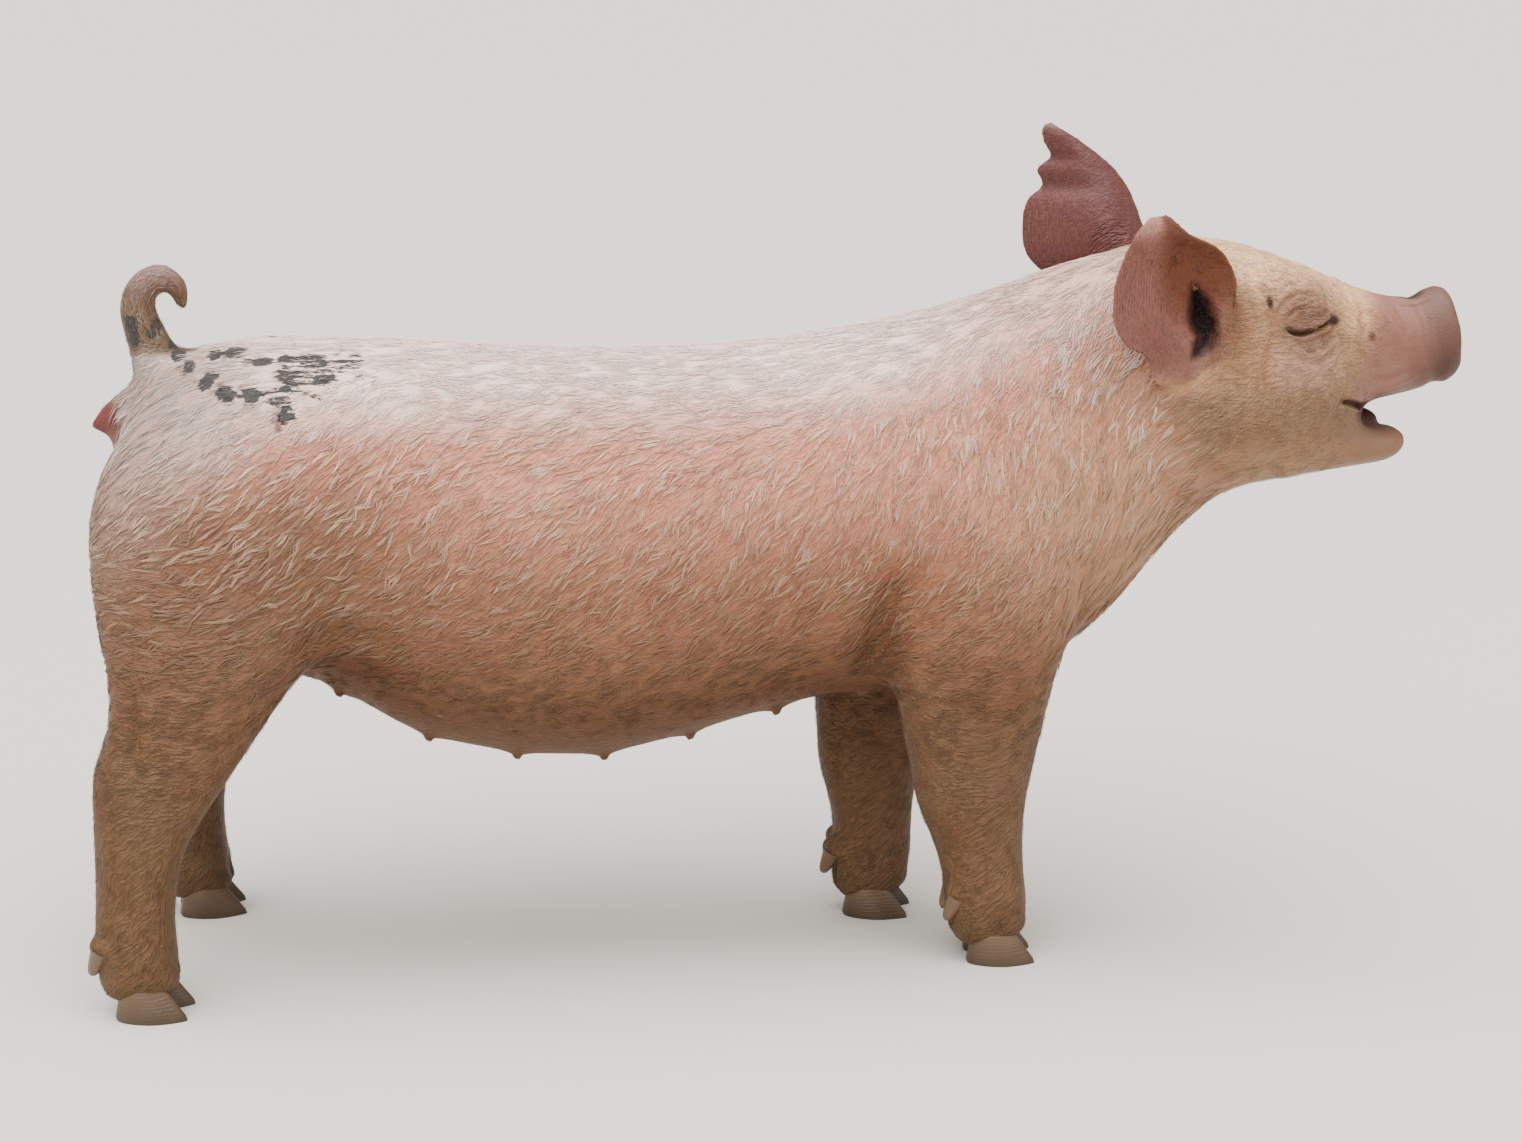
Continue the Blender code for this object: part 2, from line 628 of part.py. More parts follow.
def finished(obj, finish, crease_degrees):
    obj.data.materials.clear()
    obj.data.materials.append(finish)
    obj.data.shade_smooth()
    obj.data.set_sharp_from_angle(angle=math.radians(crease_degrees))


# ---------------------------------------------------------------------------------------------
# Building the animal
# ---------------------------------------------------------------------------------------------
def whole_flesh():
    """Trunk, head, jaw, legs, tail, vulva, teats and bulges under one skin."""
    lofts = [lengthwise("body", BODY), lengthwise("jaw", JAW)]
    lofts += [leg(stance) for stance in STANCES]
    lofts += [tube("tail", TAIL), tube("vulva", VULVA, 0.75)]
    lofts += teats() + bulges()
    return fused("trunk", lofts)


def flesh_pieces(trunk):
    """The flesh, parted into trunk, neck, head, snout, jaw, tail and four legs."""
    far = 0.6
    ahead = (far, far, far)
    pieces = {}
    for name, source, low, high, degrees, about in (
        ("head", "trunk", (0, -far, -far), ahead, -17, (0.2900, 0, 0.4000)),
        ("snout", "head", (0, -far, -0.034), ahead, -12, (0.4560, 0, 0.4200)),
        ("jaw", "head", (0, -far, -far), (far, far, 0), -6, (0.3560, 0, 0.3720)),
        ("neck", "trunk", (0, -far, -far), ahead, -17, (0.2050, 0, 0.3500)),
        ("tail", "trunk", (-0.06, -0.06, 0), (0.06, 0.06, 0.12), -26, (-0.4100, 0, 0.4240)),
    ):
        whole = pieces.get(source, trunk)
        pieces[name] = parted(whole, name, block, low, high, math.radians(degrees), about)
    for stance in STANCES:
        name = "leg_" + stance.name
        pieces[name] = parted(trunk, name, leg_region, stance)
    pieces["trunk"] = trunk
    return pieces


def build():
    for obj in list(bpy.data.objects):
        bpy.data.objects.remove(obj)

    skin = material("skin", SKIN_COLOUR, 0.6)
    ear_skin = material("ear_skin", EAR_COLOUR, 0.55)
    snout_skin = material("snout_skin", SNOUT_COLOUR, 0.45)
    horn = material("horn", HORN_COLOUR, 0.5)
    eye = material("eye", EYE_COLOUR, 0.1)

    trunk = whole_flesh()
    whole = copy_of(trunk, "whole")
    pieces = flesh_pieces(trunk)
    for name, piece in pieces.items():
        finished(piece, snout_skin if name == "snout" else skin, 60)

    for side, name in ((-1, "eye_right"), (1, "eye_left")):
        ball = eyeball(name, side)
        room_for(pieces["head"], swollen_lump(ball, CUT_GAP))
        finished(ball, eye, 60)

    for name, ear_rows, side in (("ear_right", EAR_RIGHT, -1), ("ear_left", EAR_LEFT, 1)):
        leaf = ear_leaf(name, ear_rows, side)
        room_for(leaf, swollen_skin(whole, CUT_GAP))
        finished(leaf, ear_skin, 60)
    bpy.data.objects.remove(whole)

    for stance in STANCES:
        place = foot_place(stance)
        for side, which in ((stance.side, "outer"), (-stance.side, "inner")):
            for maker, kind in ((claw, "claw"), (dewclaw, "dewclaw")):
                hoof = maker(f"{kind}_{stance.name}_{which}", place, side)
                room_for(pieces["leg_" + stance.name], swollen_lump(hoof, CUT_GAP))
                finished(hoof, horn, 35)

    stand_on_origin()


def stand_on_origin():
    """Moves every piece so that the origin lies on the floor, below the middle of the whole."""
    corners = np.array([v.co for o in bpy.data.objects for v in o.data.vertices])
    low, high = corners.min(axis=0), corners.max(axis=0)
    shift = Matrix.Translation((-(low[0] + high[0]) / 2, -(low[1] + high[1]) / 2, -low[2]))
    for obj in bpy.data.objects:
        obj.data.transform(shift)


build()
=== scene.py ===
import math

import bmesh
import bpy
import numpy as np
from mathutils import Matrix, Vector
from mathutils.bvhtree import BVHTree
from mathutils.kdtree import KDTree


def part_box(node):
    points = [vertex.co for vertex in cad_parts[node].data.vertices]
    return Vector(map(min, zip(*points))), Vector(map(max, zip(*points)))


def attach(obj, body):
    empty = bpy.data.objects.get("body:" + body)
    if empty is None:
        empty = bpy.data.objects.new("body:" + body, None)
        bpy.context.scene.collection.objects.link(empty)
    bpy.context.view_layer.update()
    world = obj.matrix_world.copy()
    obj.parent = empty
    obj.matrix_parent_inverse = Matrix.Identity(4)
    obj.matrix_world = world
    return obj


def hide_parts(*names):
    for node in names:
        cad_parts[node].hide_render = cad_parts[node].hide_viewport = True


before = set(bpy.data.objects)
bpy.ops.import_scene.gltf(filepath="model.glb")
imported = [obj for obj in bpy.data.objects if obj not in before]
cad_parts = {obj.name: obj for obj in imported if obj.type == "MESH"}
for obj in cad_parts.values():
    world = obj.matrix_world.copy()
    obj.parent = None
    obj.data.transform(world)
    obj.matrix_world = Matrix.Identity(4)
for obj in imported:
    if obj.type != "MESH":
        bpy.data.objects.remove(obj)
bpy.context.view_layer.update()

# ------------------------------
# Trunk, neck, head and jaw under the hide. The barrel is carried by ribs, the head is long and
# wedge shaped, and the jaw hangs a little open. Smooth lofts through the sections of the solids, in
# the drawing frame: x towards the snout, y to the animal's left, z up, and all in metres.
# ------------------------------
EYE_RADIUS = 0.0105
EYE_CENTRE = Vector((0.3725, 0.043, 0.4435))  # of the left eye; the right one mirrors it
eye_low, eye_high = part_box("eye_left")
SET_DOWN = Matrix.Translation((eye_low + eye_high) / 2 - EYE_CENTRE)  # to the object frame


def metres(lengths, rows):
    """Rows in which the first few values are lengths in millimetres, with those in metres."""
    return [(*(round(value / 1000, 6) for value in row[:lengths]), *row[lengths:]) for row in rows]


def through(rows, steps):
    """A smooth row of values through the given ones, `steps` to each stretch."""
    rows = np.array(rows, float)
    gaps = np.linalg.norm(np.diff(rows[:, :3], axis=0), axis=1)
    slopes = np.diff(rows, axis=0) / gaps[:, None]
    tangents = np.empty_like(rows)
    tangents[0], tangents[-1] = slopes[0], slopes[-1]
    share = (gaps[:-1] / (gaps[:-1] + gaps[1:]))[:, None]
    tangents[1:-1] = slopes[:-1] * (1 - share) + slopes[1:] * share
    made = []
    for i, gap in enumerate(gaps):
        for t in np.arange(steps) / steps:
            made.append(
                rows[i] * (2 * t**3 - 3 * t**2 + 1)
                + rows[i + 1] * (3 * t**2 - 2 * t**3)
                + gap * tangents[i] * (t**3 - 2 * t**2 + t)
                + gap * tangents[i + 1] * (t**3 - t**2)
            )
    made.append(rows[-1])
    return made


def ring(upper, lower, half_width, widest, squareness, points=40):
    """Points round a superellipse across the animal, widest at a share of the way up."""
    upper, lower = Vector(upper), Vector(lower)
    middle = lower.lerp(upper, widest)
    made = []
    for i in range(points):
        turn = 2 * math.pi * i / points
        across = math.copysign(abs(math.cos(turn)) ** (2 / squareness), math.cos(turn))
        along = abs(math.sin(turn)) ** (2 / squareness)
        reach = (upper if math.sin(turn) > 0 else lower) - middle
        made.append(middle + Vector((0, 1, 0)) * half_width * across + reach * along)
    return made


def object_from(name, mesh):
    """A new object in the scene that holds a bmesh, which is freed."""
    data = bpy.data.meshes.new(name)
    mesh.to_mesh(data)
    mesh.free()
    made = bpy.data.objects.new(name, data)
    bpy.context.scene.collection.objects.link(made)
    return made


def tube(mesh, rings, fans=True):
    """Walls over a row of rings in a bmesh, closed at each end by a fan or by one flat face."""
    rows = [[mesh.verts.new(p) for p in points] for points in rings]
    for low, high in zip(rows, rows[1:]):
        for i in range(len(low)):
            j = (i + 1) % len(low)
            mesh.faces.new((low[i], low[j], high[j], high[i]))
    for row, turned in ((rows[0], True), (rows[-1], False)):
        if not fans:
            mesh.faces.new(row[::-1] if turned else row)
            continue
        hub = mesh.verts.new(sum((v.co for v in row), Vector()) / len(row))
        for i in range(len(row)):
            pair = (row[i], row[(i + 1) % len(row)])
            mesh.faces.new((*(pair[::-1] if turned else pair), hub))


def loft(name, rings):
    """A closed object over a row of rings."""
    mesh = bmesh.new()
    tube(mesh, rings)
    bmesh.ops.recalc_face_normals(mesh, faces=mesh.faces)
    return object_from(name, mesh)


def ellipsoid(name, centre, reach):
    mesh = bmesh.new()
    bmesh.ops.create_uvsphere(mesh, u_segments=20, v_segments=12, radius=1)
    place = Matrix.Translation(centre) @ Matrix.Diagonal((*reach, 1))
    bmesh.ops.transform(mesh, matrix=place, verts=mesh.verts)
    return object_from(name, mesh)


BODY = metres(5, (  # top x, top z, low x, low z, half width, widest, squareness
    (-437, 374, -440, 325, 16, 0.5, 2.0),  # between the hams
    (-429, 390, -436, 300, 36, 0.5, 2.0),
    (-417, 405, -429, 280, 58, 0.52, 2.1),  # under the tail
    (-390, 426, -407, 240, 88, 0.54, 2.15),  # tail head
    (-350, 436, -356, 216, 103, 0.54, 2.2),  # croup
    (-300, 436.5, -300, 199, 107, 0.54, 2.2),  # hip
    (-245, 434, -245, 165, 108, 0.52, 2.2),  # flank
    (-178, 429.5, -178, 147, 110, 0.5, 2.2),  # loin
    (-110, 427, -113, 144, 113, 0.48, 2.2),  # deepest belly
    (-42, 427.5, -45, 159, 112, 0.48, 2.15),  # ribs
    (20, 433, 20, 176, 107, 0.49, 2.1),  # heart girth
    (82, 443, 85, 186, 102, 0.5, 2.1),  # withers
    (123, 452, 145, 190, 99, 0.49, 2.1),  # shoulder
    (162, 464, 205, 206, 94, 0.48, 2.1),  # brisket
    (193, 475, 243, 237, 87, 0.46, 2.1),  # front of the chest
    (220, 483, 269, 269, 81, 0.44, 2.1),  # neck
    (248, 490, 294, 297, 77, 0.42, 2.1),  # behind the ears
    (273, 497, 319, 316.5, 76, 0.4, 2.15),  # poll and jowl
    (297, 499, 346, 325.5, 74, 0.38, 2.2),  # forehead
    (330, 493.5, 378, 329, 67, 0.4, 2.2),  # temples
    (364, 483, 404, 348, 56, 0.46, 2.2),  # eyes
    (395, 470.5, 419, 377, 44, 0.5, 2.2),  # corner of the mouth
    (425, 458.5, 440, 383, 34, 0.48, 2.2),  # bridge of the nose
    (448, 454.5, 459, 387, 28.5, 0.48, 2.2),  # muzzle
    (465, 457.5, 475, 392, 27.5, 0.48, 2.1),  # behind the disc
    (475, 462, 486, 396, 30, 0.5, 2.05),  # rim of the disc
    (480, 459, 490.5, 400, 28.5, 0.5, 2.05),  # face of the disc
))
JAW = metres(5, (
    (350, 400, 370, 330, 48, 0.5, 2.1),  # inside the cheeks
    (385, 384, 398, 332, 44, 0.5, 2.1),
    (408, 371, 415, 335, 38, 0.55, 2.1),  # corner of the mouth
    (428, 364, 432, 337, 31, 0.58, 2.2),
    (444, 364, 447, 341, 25, 0.58, 2.2),  # chin
    (454, 362, 456, 349, 15, 0.58, 2.1),
))
BULGES = metres(6, (  # x, y, z of the middle, then the reach along x, y and z; each is mirrored
    (316, 50, 385, 50, 28, 46),  # jowl
    (360, 35, 462, 26, 13, 14),  # brow
    (428, 21, 405, 30, 13.5, 18),  # side of the upper lip
    (395, 22, 356, 28, 17, 18),  # corner of the jaw
))

flesh = []
for name, sections in (("body", BODY), ("jaw", JAW)):
    rings = [
        ring((top_x, 0, top_z), (low_x, 0, low_z), half_width, widest, squareness)
        for top_x, top_z, low_x, low_z, half_width, widest, squareness in through(sections, 4)
    ]
    flesh.append(loft(name, rings))
for x, y, z, *reach in BULGES:
    flesh += [ellipsoid("bulge", (x, side * y, z), reach) for side in (-1, 1)]

# ------------------------------
# Legs. Flesh on bone down to the coronet, where the claws begin. The left forefoot is set back, the
# left hind foot a little ahead of the right one.
# ------------------------------
FORELEG = metres(5, (  # height, back, front, middle y, half width, squareness
    (420, 92, 140, 46, 20, 2.0),  # top of the shoulder blade
    (375, 68, 176, 56, 36, 2.0),
    (325, 58, 203, 63, 42, 2.0),  # shoulder
    (280, 62, 214, 65, 42, 2.0),  # point of the shoulder
    (240, 74, 208, 66, 39.5, 2.1),  # elbow
    (205, 83, 197, 65, 36, 2.1),
    (170, 89, 190, 63, 32, 2.1),  # forearm
    (140, 95, 184, 61, 29, 2.1),
    (112, 101, 179, 59, 28, 2.2),  # knee
    (85, 113, 178, 57, 24.5, 2.2),  # cannon
    (62, 120, 179, 56, 26, 2.3),  # fetlock
    (42, 123, 181, 55, 27, 2.4),  # pastern
    (26, 124, 180, 54, 26, 2.4),  # coronet
    (16, 127, 172, 54, 22.5, 2.4),  # inside the claws
    (11, 133, 164, 54, 16, 2.4),
))
HINDLEG = metres(5, (
    (415, -385, -300, 48, 26, 2.0),  # inside the croup
    (375, -432, -276, 57, 46, 2.0),
    (330, -449, -268, 64, 52, 2.1),  # ham
    (285, -450, -274, 68, 50, 2.1),
    (250, -446, -290, 72, 46, 2.1),  # stifle
    (215, -441, -318, 78, 39, 2.1),
    (188, -443, -338, 84, 33, 2.1),  # second thigh
    (165, -453, -354, 90, 28.5, 2.1),  # point of the hock
    (138, -454, -373, 95, 26, 2.1),  # hock
    (110, -453, -391, 99, 24.5, 2.2),
    (82, -453, -398, 101, 24, 2.2),  # cannon
    (60, -454, -400, 103, 26, 2.3),  # fetlock
    (42, -454, -399, 104, 27, 2.4),  # pastern
    (26, -453, -398, 104, 26, 2.4),  # coronet
    (16, -450, -405, 104, 22.5, 2.4),  # inside the claws
    (11, -444, -412, 104, 16, 2.4),
))
STANCES = (  # name, levels, side, how far its foot stands ahead, swings below this height, toe-in
    ("fore_right", FORELEG, -1, 0.0, 0.36, math.radians(-4)),
    ("fore_left", FORELEG, 1, -0.071, 0.36, math.radians(12)),
    ("hind_right", HINDLEG, -1, 0.0, 0.25, math.radians(-5)),
    ("hind_left", HINDLEG, 1, 0.022, 0.25, math.radians(-5)),
)


def swing(ahead, swings_below, height):
    """How far forward a leg has swung at this height."""
    return ahead * np.clip(1 - height / swings_below, 0, 1) ** 0.7


def stand_of(levels, side, ahead, toe_in):
    """Where a foot stands: the middle of its pastern on the ground, with x towards its toes."""
    height, back, front, middle_y, *_ = levels[-3]
    middle = Matrix.Translation(((back + front) / 2 + ahead, side * middle_y, 0))
    return middle @ Matrix.Rotation(-side * toe_in, 4, "Z")


for name, levels, side, ahead, swings_below, toe_in in STANCES:
    rings = []
    for height, back, front, middle_y, half_width, squareness in through(levels, 4):
        forward = swing(ahead, swings_below, height)
        edges = [(x + forward, side * middle_y, height) for x in (front, back)]
        rings.append(ring(*edges, half_width, 0.5, squareness))
    flesh.append(loft("leg_" + name, rings))

# ------------------------------
# Tail, vulva and teats. The tail curls up and forward over the croup; the vulva is bare skin under
# it, and seven pairs of small teats stand along the belly.
# ------------------------------
TAIL = metres(4, (  # x, y, z, radius
    (-395, 0, 398, 19),
    (-405, 0, 417, 18),
    (-412.5, 1, 437, 16),
    (-419, 2, 456, 13.7),
    (-416, 4, 471.5, 11.8),
    (-404, 6, 479, 10.3),
    (-392, 8, 473, 9),
    (-388.8, 9, 461, 8),
    (-392.5, 9, 452.5, 6.8),
))
VULVA = metres(4, (
    (-415, 0, 393, 17),
    (-433, 0, 387, 14.5),
    (-446, 0, 380, 9.5),
    (-456, 0, 377, 4.5),
    (-460, 0, 376.5, 1.5),
))
TEAT_PAIRS = 7
TEAT_HEIGHT = 0.007
TEAT_RADIUS = 0.0042

for name, path, flat in (("tail", TAIL, 1.0), ("vulva", VULVA, 0.75)):
    rows = through(path, 4)
    rings = []
    for i, row in enumerate(rows):
        ahead = Vector(rows[min(i + 1, len(rows) - 1)][:3]) - Vector(rows[max(i - 1, 0)][:3])
        rise = ahead.cross(Vector((0, 1, 0))).normalized() * row[3]
        middle = Vector(row[:3])
        rings.append(ring(middle + rise, middle - rise, row[3] * flat, 0.5, 2.0))
    flesh.append(loft(name, rings))

underline = sorted((row[2], row[3]) for row in BODY[2:14])
TEATS = []  # of the left side; the right one mirrors them
for pair in range(TEAT_PAIRS):
    x = -0.292 + 0.06 * pair
    height = float(np.interp(x, *zip(*underline))) + 0.005
    for side in (-1, 1):
        centre = (x, side * (0.04 - 0.002 * pair), height)
        flesh.append(ellipsoid("teat", centre, (TEAT_RADIUS, TEAT_RADIUS, TEAT_HEIGHT)))
    TEATS.append(centre)

# ------------------------------
# Ears. A thin cupped leaf of gristle in skin, open outwards and deepest over the ear canal. The
# right one is turned aside, with one notch low in its rear rim; the left one pricks up, with two.
# ------------------------------
EAR_RIGHT = metres(6, (  # back x, back y, height, front x, front y, depth
    (257, 86, 405, 278, 77, 3),  # hanging lobe
    (249, 92, 415, 292, 74, 6),
    (247, 95, 426, 301, 70, 9),  # notch
    (230, 100, 436, 306, 66, 12),
    (221, 104, 450, 313, 63, 15),
    (219, 107, 466, 315, 63, 17),  # widest
    (221, 108, 483, 310, 68, 18),
    (227, 107, 498, 296, 79, 15),
    (232, 106, 508, 274, 94, 11),
    (238, 105, 516, 264, 99, 6),
    (244, 104, 522.5, 256, 101, 2),  # tip
))
EAR_LEFT = metres(6, (
    (250, 70, 435, 280, 69, 6),
    (220, 82, 456, 290, 70, 18),
    (199, 90, 477, 288, 70, 26),
    (197, 94, 500, 280, 72, 26),  # widest
    (201, 94, 516, 274, 74, 22),
    (211, 93, 526, 269, 76, 18),  # notch
    (206, 92, 537, 261, 78, 14),
    (216, 90, 546, 251, 80, 11),  # notch
    (210, 88, 556, 238, 82, 7),
    (208, 86, 565, 224, 83, 4),
    (211, 85, 571, 214, 84, 1),  # tip
))
EAR_THICKNESS = 0.004
EAR_COLUMNS = 40


def baked(obj):
    """Replaces an object's mesh by what its modifiers make of it."""
    graph = bpy.context.evaluated_depsgraph_get()
    mesh = bpy.data.meshes.new_from_object(obj.evaluated_get(graph))
    obj.modifiers.clear()
    obj.data = mesh
    return obj


ears = []
leaf_points = []  # side, share from the rear rim to the front one, share of the height, place
for name, ear_rows, side in (("ear_right", EAR_RIGHT, -1), ("ear_left", EAR_LEFT, 1)):
    mesh = bmesh.new()
    rows = []
    smooth_rows = through(ear_rows, 5)
    for i, (back_x, back_y, height, front_x, front_y, depth) in enumerate(smooth_rows):
        points = []
        for j in range(EAR_COLUMNS):
            share = j / (EAR_COLUMNS - 1)
            hollow = math.sin(math.pi * share**1.35) ** 0.8 if 0 < j < EAR_COLUMNS - 1 else 0.0
            x = back_x + (front_x - back_x) * share
            y = back_y + (front_y - back_y) * share - depth * hollow
            points.append(mesh.verts.new((x, side * y, height)))
            leaf_points.append((side, share, i / (len(smooth_rows) - 1), x, side * y, height))
        rows.append(points)
    for low, high in zip(rows, rows[1:]):
        for j in range(EAR_COLUMNS - 1):
            mesh.faces.new((low[j], low[j + 1], high[j + 1], high[j]))
    leaf = object_from(name, mesh)
    wall = leaf.modifiers.new("wall", "SOLIDIFY")
    wall.thickness = EAR_THICKNESS
    wall.offset = 0
    ears.append(baked(leaf))
leaf_points = np.array(leaf_points)

# ------------------------------
# The hide: one thin skin over all of it. It fills the hollows at throat, armpit and groin, dives
# into the slit of the mouth, and carries the folds of face, neck and joints.
# ------------------------------
FUSE_VOXEL = 0.004
CREASE_PASSES = 40
HIDE_VOXEL = 0.0016
GAPE = ((0.457, 0.0, 0.3715), (0.04, 0.05, 0.0085), math.radians(10))
TONGUE = ((0.412, 0.0, 0.367), (0.024, 0.016, 0.0115))  # the flesh far back in the mouth, painted dark as shade
HEEL = ((-0.016, 0.014, 0.0515), (0.014, 0.0108, 0.0105))  # a pad of skin that holds a dewclaw


def joined(name, objects):
    mesh = bmesh.new()
    for obj in objects:
        mesh.from_mesh(obj.data)
        bpy.data.objects.remove(obj)
    return object_from(name, mesh)


def remeshed(obj, voxel):
    fuse = obj.modifiers.new("fuse", "REMESH")
    fuse.mode = "VOXEL"
    fuse.voxel_size = voxel
    return baked(obj)


def numbers(name, items, width, kind=float):
    """An array of one property of all items of a mesh."""
    values = np.empty(len(items) * width, kind)
    items.foreach_get(name, values)
    return values.reshape(-1, width)


def surface(obj):
    """The places and the outward normals of an object's points."""
    return numbers("co", obj.data.vertices, 3), numbers("normal", obj.data.vertices, 3)


def reshape(obj, place):
    obj.data.vertices.foreach_set("co", place.ravel())
    obj.data.update()


def relax(obj, passes, hollow, proud):
    """Draws every point towards its neighbours, by one share in hollows and another elsewhere."""
    ends = numbers("vertices", obj.data.edges, 2, int)
    count = len(obj.data.vertices)
    valence = np.bincount(ends.ravel(), minlength=count)[:, None]
    hollow, proud = (
        np.broadcast_to(np.reshape(share, (-1, 1)), (count, 1)) for share in (hollow, proud)
    )
    for _ in range(passes):
        place, out = surface(obj)
        sums = [
            np.bincount(ends[:, 0], place[ends[:, 1], k], count)
            + np.bincount(ends[:, 1], place[ends[:, 0], k], count)
            for k in range(3)
        ]
        pull = np.stack(sums, axis=1) / valence - place
        share = np.where((pull * out).sum(axis=1, keepdims=True) > 0, hollow, proud)
        reshape(obj, place + pull * share)


hide = remeshed(joined("hide", flesh), FUSE_VOXEL)
relax(hide, CREASE_PASSES, 0.6, 0.12)
finer = hide.modifiers.new("finer", "SUBSURF")
finer.levels = finer.render_levels = 1
baked(hide)
centre, reach, slope = GAPE
air = ellipsoid("gape", (0, 0, 0), reach)
air.data.transform(Matrix.Translation(centre) @ Matrix.Rotation(slope, 4, "Y"))
tongue = ellipsoid("tongue", *TONGUE)
heels = []
for name, levels, side, ahead, swings_below, toe_in in STANCES:
    for inner in (-1, 1):
        heels.append(ellipsoid("heel", (HEEL[0][0], inner * HEEL[0][1], HEEL[0][2]), HEEL[1]))
        heels[-1].data.transform(stand_of(levels, side, ahead, toe_in))
part_lips = hide.modifiers.new("gape", "BOOLEAN")
part_lips.operation = "DIFFERENCE"
part_lips.object = air
baked(hide)
bpy.data.objects.remove(air)
hide = remeshed(joined("hide", [hide, tongue, *heels, *ears]), HIDE_VOXEL)
place, _ = surface(hide)
rims = np.zeros(len(place), bool)  # the thin rims of the ears, which are smoothed least
for side, middle in ((-1, (0.262, 0.094, 0.465)), (1, (0.212, 0.079, 0.52))):
    rims |= (np.abs(place * (1, side, 1) - middle) < (0.065, 0.019, 0.075)).all(axis=1)
relax(hide, 10, np.where(rims, 0.12, 0.5), np.where(rims, 0.06, 0.15))
HIDE_FACES = 165000  # triangles left before the face is divided finer
FINE_SPOTS = [  # x, y, z, radius of the places that are divided finer, and how many times
    (0.37, 0.048, 0.44, 0.02, 1),  # eye and its lids
    (0.487, 0.011, 0.432, 0.013, 1),  # nostril
    (0.407, 0.033, 0.3835, 0.016, 1),  # corner of the mouth
]
FINE_SPOTS += [(x, y, z, 0.01, 2) for x, y, z in TEATS]


def bell(values):
    """1 at nought, falling away on either side."""
    return np.exp(-(values**2))


def smooth_step(values, low, high):
    share = np.clip((values - low) / (high - low), 0, 1)
    return share * share * (3 - 2 * share)


def patch(points, centre, reach, edge=0.3):
    """1 inside an ellipsoid and 0 outside, with a soft edge; y counts on either side alike."""
    off = (points * (1, 0, 1) + np.abs(points) * (0, 1, 0) - centre) / reach
    return 1 - smooth_step(np.linalg.norm(off, axis=1), 1 - edge, 1 + edge)


place, _ = surface(hide)
head = smooth_step(place[:, 0] + 0.35 * (place[:, 2] - 0.42), 0.325, 0.34)
right_ear = (np.abs(place) - (0.262, 0.093, 0.465)) / (0.062, 0.024, 0.068)
right_ear = (np.linalg.norm(right_ear, axis=1) < 1) * (place[:, 1] < 0)
left_ear = np.linalg.norm((place - (0.24, 0.08, 0.51)) / (0.058, 0.03, 0.075), axis=1) < 1
keep = np.clip(head + right_ear + left_ear, 0, 1)
group = hide.vertex_groups.new(name="thin")
for level in (0.0, 0.5, 1.0):
    chosen = np.nonzero(np.abs(1 - keep - level) <= 0.25)[0]
    group.add(chosen.tolist(), level, "REPLACE")
thin = hide.modifiers.new("thin", "DECIMATE")
thin.vertex_group = "thin"
thin.ratio = HIDE_FACES / (2 * len(hide.data.polygons))
thin.use_collapse_triangulate = True
baked(hide)
place, _ = surface(hide)
body = smooth_step(-place[:, 0], -0.3, -0.22) * smooth_step(place[:, 2], 0.03, 0.12)
relax(hide, 5, 0.35 * body, 0.35 * body)

mesh = bmesh.new()
mesh.from_mesh(hide.data)
for x, y, z, radius, times in FINE_SPOTS:
    for _ in range(times):
        chosen = []
        for edge in mesh.edges:
            middle = (edge.verts[0].co + edge.verts[1].co) / 2
            if (Vector((middle.x - x, abs(middle.y) - y, middle.z - z))).length < radius:
                chosen.append(edge)
        bmesh.ops.subdivide_edges(mesh, edges=chosen, cuts=1, use_grid_fill=True)
        bmesh.ops.triangulate(mesh, faces=[f for f in mesh.faces if len(f.verts) > 3])
mesh.to_mesh(hide.data)
mesh.free()

